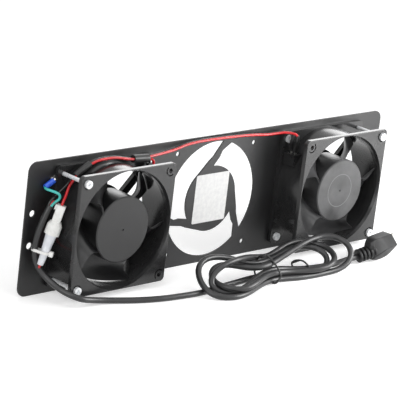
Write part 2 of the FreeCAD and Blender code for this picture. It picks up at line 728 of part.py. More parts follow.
def rotor(side_name, side, angle):
    """Impeller with its blades, steel rotor ring pressed into the hub, shaft and retaining clip."""
    x = f"{side} * Dims.fan_pitch"
    face = "-Dims.fan_depth + Dims.hub_face_setback"

    body = new_body(f"{side_name}_impeller_body")
    body.Placement = Placement(Vector(0, 0, 0), Rotation(Vector(0, 1, 0), -size(angle)))
    place(body, x=x)
    hub = new_sketch(body, "hub_profile", role="XY_Plane")
    polygon(hub, [
        ("0", face),
        ("Dims.hub_radius - Dims.hub_edge_round", face),
        ("Dims.hub_radius", f"{face} + Dims.hub_edge_round"),
        ("Dims.hub_radius", f"{face} + Dims.hub_length"),
        ("0", f"{face} + Dims.hub_length"),
    ])
    revolve(body, hub, "hub")
    doc.recompute()
    sections = [blade_section(body, k, *values) for k, values in enumerate(BLADE_SECTIONS)]
    blade = body.newObject("PartDesign::AdditiveLoft", "blade")
    blade.Profile = sections[0]
    blade.Sections = sections[1:]
    blade.Ruled = False
    hollow = new_sketch(body, "hollow_profile", role="XY_Plane")
    polar_pattern(body, blade, "blades", "Dims.blade_count", new_sketch(body, "rotor_axis"))
    doc.recompute()
    boss_top = f"{face} + Dims.hub_face_thickness + Dims.hub_boss_length"
    polygon(hollow, [
        ("Dims.shaft_radius", f"{face} + Dims.hub_face_thickness + Dims.hub_boss_length - Dims.shaft_grip"),
        ("Dims.shaft_radius", boss_top),
        ("Dims.hub_boss_radius", boss_top),
        ("Dims.hub_boss_radius", f"{face} + Dims.hub_face_thickness"),
        ("Dims.hub_radius - Dims.hub_wall", f"{face} + Dims.hub_face_thickness"),
        ("Dims.hub_radius - Dims.hub_wall", "1"),
        ("0", "1"),
        ("0", f"{face} + Dims.hub_face_thickness + Dims.hub_boss_length - Dims.shaft_grip"),
    ])
    revolve(body, hollow, "hub_hollow", "PartDesign::Groove")
    trim = new_sketch(body, "tip_trim_profile", role="XY_Plane")
    tip = f"{DUCT_RADIUS} - Dims.blade_tip_clearance"
    polygon(trim, [(f"-({tip})", "1"), (f"-({tip}) - 30", "1"), (f"-({tip}) - 30", "-Dims.fan_depth - 1"),
                   (f"-({tip})", "-Dims.fan_depth - 1")])
    revolve(body, trim, "tip_trim", "PartDesign::Groove")
    dimple = new_sketch(body, "dimple_circle", offset="Dims.fan_depth - Dims.hub_face_setback")
    circle(dimple, "Dims.hub_dimple_radius")
    doc.recompute()
    pocket(body, dimple, "dimple", "Dims.hub_dimple_depth", towards_front=True)
    node(body, f"{side_name}_impeller")

    cup_floor = "Dims.fan_depth - Dims.hub_face_setback - Dims.hub_face_thickness"
    ring_outer = "Dims.hub_radius - Dims.hub_wall - Dims.bearing_fit"
    node(ring(f"{side_name}_steel_ring", ring_outer, f"{ring_outer} - Dims.rotor_ring_thickness",
              "Dims.rotor_ring_length", f"{cup_floor} - Dims.rotor_ring_inset - Dims.rotor_ring_length", x),
         f"{side_name}_rotor_ring")

    boss_end = "Dims.fan_depth - Dims.hub_face_setback - Dims.hub_face_thickness - Dims.hub_boss_length"
    grip_end = f"{boss_end} + Dims.shaft_grip"
    shaft_rod = rod(f"{side_name}_shaft_rod", "Dims.shaft_radius", f"{grip_end} - Dims.shaft_end", "Dims.shaft_end", x)
    groove = ring(f"{side_name}_shaft_groove", "Dims.shaft_radius + 1", "Dims.clip_groove_radius",
                  "Dims.clip_thickness", "Dims.clip_setback", x)
    node(cut(f"{side_name}_grooved_shaft", shaft_rod, groove), f"{side_name}_shaft")
    node(ring(f"{side_name}_clip_ring", "Dims.clip_radius", "Dims.clip_groove_radius + Dims.bearing_fit",
              "Dims.clip_thickness", "Dims.clip_setback", x), f"{side_name}_shaft_clip")


# ---------------------------------------------------------------- fasteners
def screw(name, x, z, seat):
    """Pan head machine screw from its seat towards the panel's front, with its hexagon nut there."""
    nut_end = "Dims.panel_thickness + Dims.nut_height + Dims.screw_tail"
    head = rod(f"{name}_head", "Dims.screw_head_radius", "Dims.screw_head_height", seat, x, z)
    shank = rod(f"{name}_shank", "Dims.screw_radius", f"{seat} + {nut_end}", f"-({nut_end})", x, z)
    recess = rod(f"{name}_recess", "Dims.screw_recess_radius", "Dims.screw_recess_depth",
                 f"{seat} + Dims.screw_head_height - Dims.screw_recess_depth", x, z)
    nut = doc.addObject("Part::Prism", f"{name}_nut_prism")
    nut.Polygon = 6
    nut.Placement = Placement(Vector(0, 0, 0), TOWARDS_REAR)
    bind(nut, Circumradius="Dims.nut_across_corners / 2", Height="Dims.nut_height")
    place(nut, x, "Dims.panel_thickness + Dims.nut_height", z)
    nut_bore = rod(f"{name}_nut_bore", "Dims.nut_bore_radius", "Dims.nut_height",
                   "-Dims.panel_thickness - Dims.nut_height", x, z)
    blank = fuse(f"{name}_blank", [head, shank])
    return (cut(f"{name}_screw", blank, recess), cut(f"{name}_nut", nut, nut_bore))


def fasteners(side_name, side):
    """Long screws through both flanges at the outer corners, short ones through the front flange inside."""
    nuts = []
    for kind, outward, seat in (("long", side, "Dims.fan_depth"), ("short", -side, "Dims.flange_thickness")):
        screws = []
        for level, z_sign in (("upper", ""), ("lower", "-")):
            x = f"{side} * Dims.fan_pitch + {outward} * {FAN_HOLE_REACH}"
            pair = screw(f"{side_name}_{kind}_{level}", x, f"{z_sign}{FAN_HOLE_REACH}", seat)
            screws.append(pair[0])
            nuts.append(pair[1])
        node(group(f"{side_name}_{kind}_screw_pair", screws), f"{side_name}_{kind}_screws")
    node(group(f"{side_name}_nut_set", nuts), f"{side_name}_nuts")


for side_name, side in (("left", -1), ("right", 1)):
    housing(side_name, side)
    motor(side_name, side)
    rotor(side_name, side, f"{side_name}_rotor_angle")
    fasteners(side_name, side)


# ---------------------------------------------------------------- wires and cord
def route_wire(points):
    """Straight runs joined by tangent arcs, each arc as large as its two runs allow."""
    edges = []
    start = points[0]
    for k in range(1, len(points) - 1):
        before = points[k] - points[k - 1]
        after = points[k + 1] - points[k]
        half_turn = before.getAngle(after) / 2
        radius = 0.45 * min(before.Length, after.Length) / math.tan(half_turn)
        reach = radius * math.tan(half_turn)
        into, out = Vector(before).normalize(), Vector(after).normalize()
        first = points[k] - into * reach
        last = points[k] + out * reach
        bisector = (out - into).normalize()
        crown = points[k] + bisector * (radius / math.cos(half_turn) - radius)
        edges.append(Part.LineSegment(start, first).toShape())
        edges.append(Part.Arc(first, crown, last).toShape())
        start = last
    edges.append(Part.LineSegment(start, points[-1]).toShape())
    return Part.Wire(edges)


def round_tube(label, points, radius):
    """A round bar swept along a route, with its volume compared with section times length."""
    path = route_wire(points)
    direction = points[1] - points[0]
    section = Part.Wire(Part.Circle(points[0], direction, radius).toShape())
    solid = path.makePipeShell([section], True, False)
    expected = math.pi * radius ** 2 * path.Length
    print(f"{label}: length {path.Length:.1f} mm, volume {solid.Volume / expected:.4f} of section times length")
    return solid


left_fan = Vector(-size("fan_pitch"), 0, 0)
right_fan = Vector(size("fan_pitch"), 0, 0)
lead = size("lead_radius")
half_gap = size("lead_pair_half_gap")

# mains cord: down past the left fan's edge, round its corner and along the surface to the hank
CORD_ROUTE = [Vector(*point) for point in (
    (-222.3, -12.0, 26.0), (-227.5, -10.5, 14.0), (-231.3, -8.6, -1.0), (-232.3, -7.2, -16.0),
    (-230.0, -7.6, -29.3), (-224.8, -12.9, -40.0), (-219.5, -23.5, -47.6), (-216.0, -36.5, -52.4),
    (-206.0, -49.0, -56.6), (-190.5, -54.5, -60.5), (-170.5, -57.0, -62.9), (-148.0, -61.0, -63.1),
    (-122.0, -65.2, -63.1), (-92.0, -67.6, -63.1), (-62.0, -69.4, -63.1), (-35.0, -69.0, -63.1),
    (-12.0, -68.0, -62.2), (9.0, -69.0, -58.8), (30.0, -70.5, -51.0))]
LAST_STRETCH = [Vector(*point) for point in (
    (108.0, -76.5, -57.0), (121.0, -74.8, -60.8), (134.0, -71.8, -62.9), (147.8, -74.9, -59.5))]
first_stretch = round_tube("mains cord", CORD_ROUTE, size("cord_radius"))
last_stretch = round_tube("mains cord's end", LAST_STRETCH, size("cord_radius"))

jacket_end = CORD_ROUTE[0]
jacket_axis = (CORD_ROUTE[0] - CORD_ROUTE[1]).normalize()
jacket_side = jacket_axis.cross(Vector(0, 1, 0)).normalize()
jacket_rear = jacket_side.cross(jacket_axis).normalize()


def jacket_exit(angle):
    """Where one core leaves the jacket, and a point a little further along it."""
    turned = jacket_side * math.cos(math.radians(angle)) + jacket_rear * math.sin(math.radians(angle))
    start = jacket_end + turned * size("lead_ring_at_jacket")
    return [start, start + jacket_axis * 3.5 + turned * 0.6]


# in-line fuse holder: square cap, collar and tapered tube on one leaning axis
holder_top = left_fan + Vector(-64.4, -19.3, 27.5)
holder_axis = Vector(-14.0, 6.0, -58.0).normalize()
holder_turn = Rotation(Vector(0, 0, 1), holder_axis)
cap_length = size("holder_cap_length")
collar_length = size("holder_collar_length")
tube_length = size("holder_tube_length")


def along_holder(distance):
    return holder_top + holder_axis * distance


cap_width = size("holder_cap_width")
cap_block = Part.makeBox(cap_width, cap_width, cap_length, Vector(-cap_width / 2, -cap_width / 2, 0))
cap_block = cap_block.makeFillet(1.2, [edge for edge in cap_block.Edges if abs(edge.tangentAt(0).z) > 0.9])
latch = Part.makeBox(2.0, 3.0, 5.0, Vector(cap_width / 2 - 0.5, -1.5, 0.5))
collar_radius = size("holder_collar_radius")
collar_slope = 4.0
collar = Part.makeCone(collar_radius - 2.2, collar_radius, collar_slope, Vector(0, 0, cap_length)).fuse(
    Part.makeCylinder(collar_radius, collar_length - collar_slope, Vector(0, 0, cap_length + collar_slope)))
cap_shape = cap_block.fuse([latch, collar]).removeSplitter()
cap = node(solid_feature("fuse_holder_cap_shape", cap_shape), "fuse_holder_cap")
cap.Placement = Placement(holder_top, holder_turn)
tube_shape = Part.makeCone(size("holder_tube_radius"), size("holder_tip_radius"), tube_length,
                           Vector(0, 0, cap_length + collar_length))
holder_tube = node(solid_feature("fuse_holder_tube_shape", tube_shape), "fuse_holder_tube")
holder_tube.Placement = Placement(holder_top, holder_turn)
tube_space = tube_shape.copy()
tube_space.Placement = holder_tube.Placement

# ring terminal clamped under the left fan's upper outer corner, its crimp barrel and blue sleeve
half_hole_span = size("fan_size") / 2 - size("fan_hole_inset")
ring_centre = left_fan + Vector(-half_hole_span, 0, half_hole_span)
crimp_direction = Vector(-0.884, 0, -0.468).normalize()
crimp_turn = Rotation(crimp_direction, Vector(0, 1, 0), Vector(0, 0, 1), "XYZ")
ring_plate = Part.makeCylinder(size("ring_outer_radius"), size("ring_thickness"), Vector(0, 0, 0), Vector(0, -1, 0))
tongue = Part.makeBox(size("crimp_setback") + 3.0, size("ring_thickness"), size("tongue_width"),
                      Vector(0, -size("ring_thickness"), -size("tongue_width") / 2))
riser = Part.makeBox(1.5, size("crimp_axis_depth"), size("tongue_width") - 1.0,
                     Vector(size("crimp_setback") + 0.5, -size("crimp_axis_depth"), -size("tongue_width") / 2 + 0.5))
barrel = Part.makeCylinder(size("crimp_barrel_radius"), size("crimp_sleeve_length") + 0.6,
                           Vector(size("crimp_setback") + 0.5, -size("crimp_axis_depth"), 0), Vector(1, 0, 0))
hole = Part.makeCylinder(size("ring_inner_radius"), 4.0, Vector(0, 1, 0), Vector(0, -1, 0))
terminal_shape = ring_plate.fuse([tongue, riser, barrel]).cut(hole).removeSplitter()
terminal = node(solid_feature("ring_terminal_shape", terminal_shape), "ring_terminal")
terminal.Placement = Placement(ring_centre, crimp_turn)
sleeve_base = Vector(size("crimp_setback") + 2.2, -size("crimp_axis_depth"), 0)
sleeve_shape = Part.makeCylinder(size("crimp_sleeve_radius"), size("crimp_sleeve_length"), sleeve_base,
                                 Vector(1, 0, 0))
sleeve_shape = sleeve_shape.cut(barrel)
sleeve_place = Placement(ring_centre, crimp_turn)
crimp_exit = ring_centre + crimp_direction * (size("crimp_setback") + 2.2 + size("crimp_sleeve_length"))
crimp_exit = crimp_exit + Vector(0, -size("crimp_axis_depth"), 0)


# green earth lead, from the jacket to the crimp
EARTH_ROUTE = jacket_exit(270) + [left_fan + Vector(*point) for point in (
    (-66.5, -17.5, 33.5), (-67.0, -17.0, 38.0), (-70.5, -10.0, 39.5), (-73.5, -4.6, 40.5))] + [crimp_exit]
earth_tube = round_tube("earth lead", EARTH_ROUTE, lead)
node(solid_feature("earth_lead_tube", earth_tube), "earth_lead")
sleeve_shape.Placement = sleeve_place
node(solid_feature("crimp_sleeve_shape", sleeve_shape.cut(earth_tube)), "crimp_sleeve")

# the red and black pair: side by side from the left of the left fan over its barrel to the splice
PAIR_ROUTE = [left_fan + Vector(*point) for point in (
    (-49.5, -12.0, 46.5), (-43.7, -11.0, 51.8), (-34.5, -10.5, 56.8), (-24.5, -10.5, 61.8), (-13.0, -10.5, 64.0),
    (4.5, -11.0, 63.8), (17.0, -12.0, 61.0), (26.5, -12.0, 59.6))]
front_of_pair = Vector(0, -half_gap, 0)
back_of_pair = Vector(0, half_gap, 0)
RED_ROUTE = [holder_top, holder_top - holder_axis * 4.0, left_fan + Vector(-60.0, -18.6, 36.0),
             left_fan + Vector(-55.0, -15.6, 42.5)] + [point + front_of_pair for point in PAIR_ROUTE]
BLACK_ROUTE = jacket_exit(30) + [left_fan + Vector(-67.5, -11.5, 33.5), left_fan + Vector(-61.5, -11.0, 37.5),
                                 left_fan + Vector(-55.5, -10.8, 41.5)] + [point + back_of_pair for point in PAIR_ROUTE]
red_tube = round_tube("red lead", RED_ROUTE, lead)
node(solid_feature("red_lead_tube", red_tube), "red_lead")
black_tube = round_tube("black lead", BLACK_ROUTE, lead)
node(solid_feature("black_lead_tube", black_tube), "black_lead")

# dark sleeve drawn over the pair where it passes behind the fan screw
sleeve_route = [left_fan + Vector(-44.4, -11.1, 51.2), left_fan + Vector(-42.5, -10.9, 52.5), PAIR_ROUTE[2],
                left_fan + Vector(-26.5, -10.5, 60.8)]
sleeve_outer = round_tube("sleeve", sleeve_route, size("sleeve_radius"))
pair_space = round_tube("sleeve bore", sleeve_route, size("sleeve_radius") - size("sleeve_wall"))
node(solid_feature("lead_sleeve_tube", sleeve_outer.cut(pair_space)), "lead_sleeve")

# shrink splice: the pair ends in it and four leads leave it
splice_start = PAIR_ROUTE[-1]
splice_end = left_fan + Vector(46.0, -12.0, 58.2)
splice_shape = Part.makeCylinder(size("splice_radius"), (splice_end - splice_start).Length, splice_start,
                                 splice_end - splice_start)

socket_top = size("terminal_block_top") + size("receptacle_standoff") + size("receptacle_height")
first_depth = size("tab_first_depth")
second_depth = size("tab_first_depth") + size("tab_pitch")
block_offset = size("terminal_block_offset")
splice_axis = (splice_end - splice_start).normalize()


def socket_entry(fan, side, depth):
    """The top of one receptacle, and a point a little above it."""
    top = fan + Vector(-side * block_offset, -depth, socket_top)
    return [top + Vector(0, 0, 4.5), top]


def splice_exit(angle, reach=3.5):
    """Where a lead leaves the right end of the splice, and a point a little further on."""
    spread = Vector(0, -math.cos(math.radians(angle)), math.sin(math.radians(angle)))
    start = splice_end + spread * 2.1
    return [start, start + splice_axis * reach + spread * 0.4]


def far_route(exit_angle, depth, front):
    """A lead along the panel's upper edge to the right fan; front is its place before or behind its twin."""
    strip = [Vector(-64.0, -6.0, 60.2), Vector(-48.0, -4.1, 63.2), Vector(-26.0, -4.0, 64.4), Vector(0.0, -4.0, 64.2),
             Vector(24.0, -4.0, 63.6)]
    near_fan = [right_fan + Vector(-104.0, -4.0, 62.6), right_fan + Vector(-86.0, -4.0, 60.4),
                right_fan + Vector(-72.0, -5.5, 61.0), right_fan + Vector(-61.5, -8.8, 61.8)]
    return splice_exit(exit_angle) + [point + front for point in strip + near_fan] + [
        right_fan + Vector(-53.0, -depth, 60.2)] + socket_entry(right_fan, 1, depth)


red_far = round_tube("red far lead", far_route(50, second_depth, front_of_pair), lead)
node(solid_feature("red_far_tube", red_far), "right_red_lead")
black_far = round_tube("black far lead", far_route(130, first_depth, back_of_pair), lead)
node(solid_feature("black_far_tube", black_far), "right_black_lead")


def near_route(exit_angle, depth):
    """A short lead that bends down from the splice to the left fan's own terminal."""
    top = socket_entry(left_fan, -1, depth)[1]
    start = splice_exit(exit_angle)[0]
    aside = start.y - top.y
    return [start, top + Vector(-2.0, aside * 0.6, 5.2), top + Vector(0, 0, 3.4), top]


red_near = round_tube("red near lead", near_route(-50, second_depth), lead)
node(solid_feature("red_near_tube", red_near), "left_red_lead")
black_near = round_tube("black near lead", near_route(230, first_depth), lead)
node(solid_feature("black_near_tube", black_near), "left_black_lead")
splice_solid = splice_shape.cut([red_tube, black_tube, red_far, black_far, red_near, black_near])
node(solid_feature("splice_sleeve_tube", splice_solid), "splice_sleeve")

# red tail lead: out of the holder's tip, back behind the cord and into the jacket
holder_tip = along_holder(cap_length + collar_length + tube_length)
TAIL_ROUTE = [holder_tip, holder_tip + holder_axis * 5.0] + [left_fan + Vector(*point) for point in (
    (-80.0, -7.0, -41.0), (-76.2, -3.3, -34.0), (-74.4, -2.9, -20.0), (-75.0, -3.1, -3.0), (-73.4, -4.0, 12.0),
    (-71.0, -5.4, 24.0), (-69.6, -7.4, 32.5))] + jacket_exit(150)[::-1]
tail_tube = round_tube("tail lead", TAIL_ROUTE, lead)
node(solid_feature("tail_lead_tube", tail_tube.cut(black_tube)), "tail_lead")

# cable tie round the cord and the fuse holder: two rounds joined by straight stretches, and its head
tie_holder_point = along_holder(47.5)
tie_axis = Vector(-0.16, 0.06, -0.98).normalize()
tie_cord_point = CORD_ROUTE[3] + (CORD_ROUTE[4] - CORD_ROUTE[3]) * 0.42
tie_cord_point = tie_cord_point + tie_axis * (tie_holder_point - tie_cord_point).dot(tie_axis)
holder_radius_there = size("holder_tube_radius") + (size("holder_tip_radius") - size("holder_tube_radius")) * (
    (47.5 - cap_length - collar_length) / tube_length)
tie_span = tie_cord_point - tie_holder_point


def belt(near_radius, far_radius, span, length):
    """Solid belt outline round two parallel rounds of unlike radius, the far one at distance span along x."""
    lean = math.acos((near_radius - far_radius) / span)
    def spot(centre, radius, angle):
        return Vector(centre + radius * math.cos(angle), radius * math.sin(angle), 0)
    edges = [Part.Arc(spot(0, near_radius, lean), spot(0, near_radius, math.pi),
                      spot(0, near_radius, -lean)).toShape(),
             Part.LineSegment(spot(0, near_radius, -lean), spot(span, far_radius, -lean)).toShape(),
             Part.Arc(spot(span, far_radius, -lean), spot(span, far_radius, 0),
                      spot(span, far_radius, lean)).toShape(),
             Part.LineSegment(spot(span, far_radius, lean), spot(0, near_radius, lean)).toShape()]
    outline_wire = Part.Wire(edges)
    solid = Part.Face(outline_wire).extrude(Vector(0, 0, length))
    solid.translate(Vector(0, 0, -length / 2))
    return solid


slack = size("tie_slack")
strap = size("tie_thickness")
cord_r = size("cord_radius")
tie_solid = belt(holder_radius_there + slack + strap, cord_r + slack + strap, tie_span.Length,
                 size("tie_width"))
tie_space = belt(holder_radius_there + slack, cord_r + slack, tie_span.Length, size("tie_width") + 2)
head_reach = holder_radius_there + slack
tie_head = Part.makeBox(size("tie_head_height"), size("tie_head_width"), size("tie_head_length"),
                        Vector(-head_reach - size("tie_head_height"), -size("tie_head_width") / 2,
                               -size("tie_head_length") / 2))
tie_head = tie_head.makeFillet(0.8, tie_head.Edges)
tie_shape = tie_solid.fuse(tie_head).cut(tie_space).Solids[0]
tie_shape.Placement = Placement(tie_holder_point, Rotation(tie_span, Vector(0, 0, 0), tie_axis, "ZXY"))
tie_shape = tie_shape.cut(tail_tube).cut(first_stretch).cut(tube_space)
node(solid_feature("cable_tie_shape", tie_shape), "cable_tie")

# hank: two long loops of cord with their strands drawn together at the waist
hank = new_body("hank_body")
lean = math.radians(size("hank_lean"))
turn = math.radians(size("hank_turn"))
hank_along = Vector(math.cos(turn), math.sin(turn), 0)
hank_up = Vector(-math.sin(turn) * math.cos(lean), math.cos(turn) * math.cos(lean), math.sin(lean))
hank_turn = Rotation(hank_along, hank_up, hank_along.cross(hank_up), "XYZ")
hank.Placement = Placement(Vector(48.0, -69.0, -44.6), hank_turn)


def stadium(sketch, left, right, half, level):
    """A long loop along x between two end coordinates, with round ends of radius half, centred at a level in y."""
    low, high, r, centre_y = [sheet_value(text) for text in (left, right, half, level)]
    ends = []
    for centre, start in ((low + r, 90), (high - r, 270)):
        base = Part.Circle(Vector(centre, centre_y, 0), Vector(0, 0, 1), r)
        half_round = Part.ArcOfCircle(base, math.radians(start), math.radians(start + 180))
        ends.append(sketch.addGeometry(half_round))
        dimension(sketch, "DistanceY", -1, 1, ends[-1], 3, centre_y, to=level)
    lines = []
    for y, first, last in ((centre_y - r, low + r, high - r), (centre_y + r, high - r, low + r)):
        lines.append(sketch.addGeometry(Part.LineSegment(Vector(first, y, 0), Vector(last, y, 0))))
    joins = ((ends[0], 2, lines[0], 1), (lines[0], 2, ends[1], 1),
             (ends[1], 2, lines[1], 1), (lines[1], 2, ends[0], 1))
    for join in joins:
        sketch.addConstraint(Sketcher.Constraint("Tangent", *join))
    dimension(sketch, "Radius", ends[0], r, to=half)
    dimension(sketch, "DistanceX", -1, 1, ends[0], 3, low + r, to=f"({left}) + ({half})")
    dimension(sketch, "DistanceX", -1, 1, ends[1], 3, high - r, to=f"({right}) - ({half})")


BULK = (("left_loop", "-Dims.hank_left_end", "-40", "Dims.hank_left_half", "0"),
        ("right_loop", "-26", "Dims.hank_right_end", "Dims.hank_right_half", "Dims.hank_left_half * -0.2"),
        ("waist", "-70", "10", "Dims.hank_waist_half", "-3"))
for name, left, right, half, level in BULK:
    loop_sketch = new_sketch(hank, name, role="XY_Plane", offset="-Dims.hank_thickness / 2")
    stadium(loop_sketch, left, right, half, level)
    pad(hank, loop_sketch, f"{name}_pad", "Dims.hank_thickness")
doc.recompute()
GAPS = (("left_gap", "-Dims.hank_left_end + Dims.hank_band * 1.8", "-50", "Dims.hank_left_half / 2", "-1"),
        ("right_gap", "4", "Dims.hank_right_end - Dims.hank_band * 2", "Dims.hank_right_half / 2", "-4"))
for name, left, right, half, level in GAPS:
    gap_sketch = new_sketch(hank, name, role="XY_Plane", offset="-Dims.hank_thickness / 2 - 1")
    stadium(gap_sketch, left, right, half, level)
    pocket(hank, gap_sketch, f"{name}_cut")
node(hank, "cord_hank")

# the cord's two visible stretches: the first is closed round its three cores, the last comes out of the hank
def main_piece(shape):
    """The largest solid of a shape that a cut has parted."""
    return max(shape.Solids, key=lambda piece: piece.Volume)


upper_stretch = main_piece(first_stretch.cut([earth_tube, black_tube, tail_tube, tube_space, hank.Shape]))
end_stretch = main_piece(last_stretch.cut(hank.Shape))
node(group("mains_cord_tubes", [solid_feature("upper_stretch", upper_stretch),
                                solid_feature("end_stretch", end_stretch)]), "mains_cord")

# plug: moulded block that widens to its face, ribbed relief and two pins
PLUG_CENTRE = Vector(178.5, -78.0, -53.0)
RELIEF_START = Vector(147.8, -74.9, -59.5)
RELIEF_DIRECTION = Vector(0.934, -0.227, 0.27).normalize()
plug = new_body("plug_body_body")
plug.Placement = Placement(PLUG_CENTRE, Rotation(Vector(0, 0, 1), size("plug_turn")))
back = new_sketch(plug, "plug_back", role="YZ_Plane", offset="-Dims.plug_taper_length + 2")
rounded_rectangle(back, "Dims.plug_back_width", "Dims.plug_back_height", "Dims.plug_corner_radius")
face_outline = new_sketch(plug, "plug_shoulder", role="YZ_Plane", offset="2")
rounded_rectangle(face_outline, "Dims.plug_face_width", "Dims.plug_face_height", "Dims.plug_corner_radius")
taper = plug.newObject("PartDesign::AdditiveLoft", "plug_taper")
taper.Profile = back
taper.Sections = [face_outline]
face_sketch = new_sketch(plug, "plug_face", role="YZ_Plane", offset="2")
rounded_rectangle(face_sketch, "Dims.plug_face_width", "Dims.plug_face_height", "Dims.plug_corner_radius")
pad(plug, face_sketch, "plug_front", "Dims.plug_face_length")
node(plug, "plug_body")

pins = []
for level, sign in (("upper", 1), ("lower", -1)):
    pin = doc.addObject("Part::Cylinder", f"{level}_pin")
    bind(pin, Radius="Dims.plug_pin_radius", Height="Dims.plug_pin_length")
    offset = Vector(2.0 + size("plug_face_length"), 0, sign * size("plug_pin_half_gap"))
    pin.Placement = plug.Placement.multiply(Placement(offset, Rotation(Vector(0, 1, 0), 90)))
    pins.append(pin)
node(group("plug_pin_pair", pins), "plug_pins")

doc.recompute()
relief_cone = Part.makeCone(size("relief_start_radius"), size("relief_end_radius"), size("relief_length"),
                            RELIEF_START, RELIEF_DIRECTION)
node(solid_feature("plug_relief_shape", relief_cone.cut([plug.Shape, last_stretch])), "plug_relief")


def twist_tie(label, at, half_height, level):
    """A thin closed wire round the hank's strands, a little clear of them."""
    gap = size("twist_tie_slack") + size("twist_tie_radius")
    half_h = half_height + gap
    half_t = size("hank_thickness") / 2 + gap
    r = 3.0
    corners = [(half_h - r, half_t - r), (-half_h + r, half_t - r),
               (-half_h + r, -half_t + r), (half_h - r, -half_t + r)]
    edges = []
    for k, (v, w) in enumerate(corners):
        start = math.radians(90 * k)
        arc_points = [Vector(at, level + v + r * math.cos(start + step), w + r * math.sin(start + step))
                      for step in (0, math.pi / 4, math.pi / 2)]
        edges.append(Part.Arc(*arc_points).toShape())
        nxt = corners[(k + 1) % 4]
        end = math.radians(90 * (k + 1))
        finish = Vector(at, level + nxt[0] + r * math.cos(end), nxt[1] + r * math.sin(end))
        edges.append(Part.LineSegment(arc_points[2], finish).toShape())
    path = Part.Wire(edges)
    section = Part.Wire(Part.Circle(edges[0].valueAt(edges[0].FirstParameter), Vector(0, 0, 1),
                                    size("twist_tie_radius")).toShape())
    shape = path.makePipeShell([section], True, False)
    shape.Placement = hank.Placement
    node(solid_feature(f"{label}_shape", shape.cut([hank.Shape, upper_stretch])), label)


twist_tie("left_twist_tie", -24.0, size("hank_waist_half"), -3.0)
twist_tie("right_twist_tie", -8.0, size("hank_waist_half"), -3.0)


# ---------------------------------------------------------------- check and write
doc.recompute()
faults = [item.Name for item in doc.Objects if {"Invalid", "Error"} & set(item.State)]
faults += [item.Label for item in NODES if item.Shape.isNull() or not item.Shape.isValid() or item.Shape.Volume <= 0]
if faults:
    raise RuntimeError(f"failed: {faults}")
os.makedirs("parts", exist_ok=True)
for item in NODES:
    item.Shape.exportStep(f"parts/{item.Label}.step")
print(len(NODES), "nodes written")
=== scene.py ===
"""Rack fan tray: a black steel rack panel with swept guards cut into it, two axial fans
bolted behind the outer guards, their leads, and a mains cord tied in a hank."""
from math import cos, pi, radians, sin

import bmesh
import bpy
from mathutils import Matrix, Vector


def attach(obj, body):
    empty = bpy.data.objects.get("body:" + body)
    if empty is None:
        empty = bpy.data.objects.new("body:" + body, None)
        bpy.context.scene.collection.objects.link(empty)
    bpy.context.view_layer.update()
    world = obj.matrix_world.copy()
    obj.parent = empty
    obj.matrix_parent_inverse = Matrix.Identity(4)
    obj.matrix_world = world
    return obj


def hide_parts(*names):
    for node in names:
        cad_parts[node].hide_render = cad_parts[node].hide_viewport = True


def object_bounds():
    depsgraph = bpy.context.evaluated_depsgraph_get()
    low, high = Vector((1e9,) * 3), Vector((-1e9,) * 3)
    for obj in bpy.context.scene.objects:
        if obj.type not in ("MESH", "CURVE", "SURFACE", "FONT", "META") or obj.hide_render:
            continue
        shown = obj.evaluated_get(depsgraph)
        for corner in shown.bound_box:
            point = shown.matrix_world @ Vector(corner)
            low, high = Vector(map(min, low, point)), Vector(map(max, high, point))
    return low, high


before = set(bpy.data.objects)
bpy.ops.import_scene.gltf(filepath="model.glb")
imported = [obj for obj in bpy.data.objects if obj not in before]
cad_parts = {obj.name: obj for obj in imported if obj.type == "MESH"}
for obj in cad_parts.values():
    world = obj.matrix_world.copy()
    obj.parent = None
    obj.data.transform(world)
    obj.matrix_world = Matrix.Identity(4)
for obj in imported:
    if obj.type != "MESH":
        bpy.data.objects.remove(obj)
cad_box = [list(corner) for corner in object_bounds()]
scene = bpy.context.scene
scene.view_settings.view_transform = "Standard"

# ---- Viewpoint ----
# A long lens, a little above the fan side and left of it. The tray leans forward on its edge
# as it stands, so the camera is rolled by as much as that lean shows.
VIEW_AZIMUTH = radians(-45.83)
VIEW_RISE = radians(17.05)
VIEW_ROLL = radians(6.98)
VIEW_DISTANCE = 2.3883
VIEW_CENTRE = Vector((-0.00206, 0, 0.00606))
VIEW_LENS = 208.16
VIEW_SENSOR = 36
VIEW_SHIFT = (-0.00377, -0.03635)
backwards = Vector((sin(VIEW_AZIMUTH) * cos(VIEW_RISE), -cos(VIEW_AZIMUTH) * cos(VIEW_RISE), sin(VIEW_RISE)))
level_right = Vector((cos(VIEW_AZIMUTH), sin(VIEW_AZIMUTH), 0))
level_up = backwards.cross(level_right)
rolled_right = level_right * cos(VIEW_ROLL) + level_up * sin(VIEW_ROLL)
rolled_up = level_up * cos(VIEW_ROLL) - level_right * sin(VIEW_ROLL)
lens_data = bpy.data.cameras.new("camera")
lens_data.lens = VIEW_LENS
lens_data.sensor_width = VIEW_SENSOR
lens_data.shift_x, lens_data.shift_y = VIEW_SHIFT
lens_data.clip_end = 20
camera = bpy.data.objects.new("camera", lens_data)
scene.collection.objects.link(camera)
turn = Matrix((rolled_right, rolled_up, backwards)).transposed().to_4x4()
camera.matrix_world = Matrix.Translation(backwards * VIEW_DISTANCE + VIEW_CENTRE) @ turn
scene.camera = camera

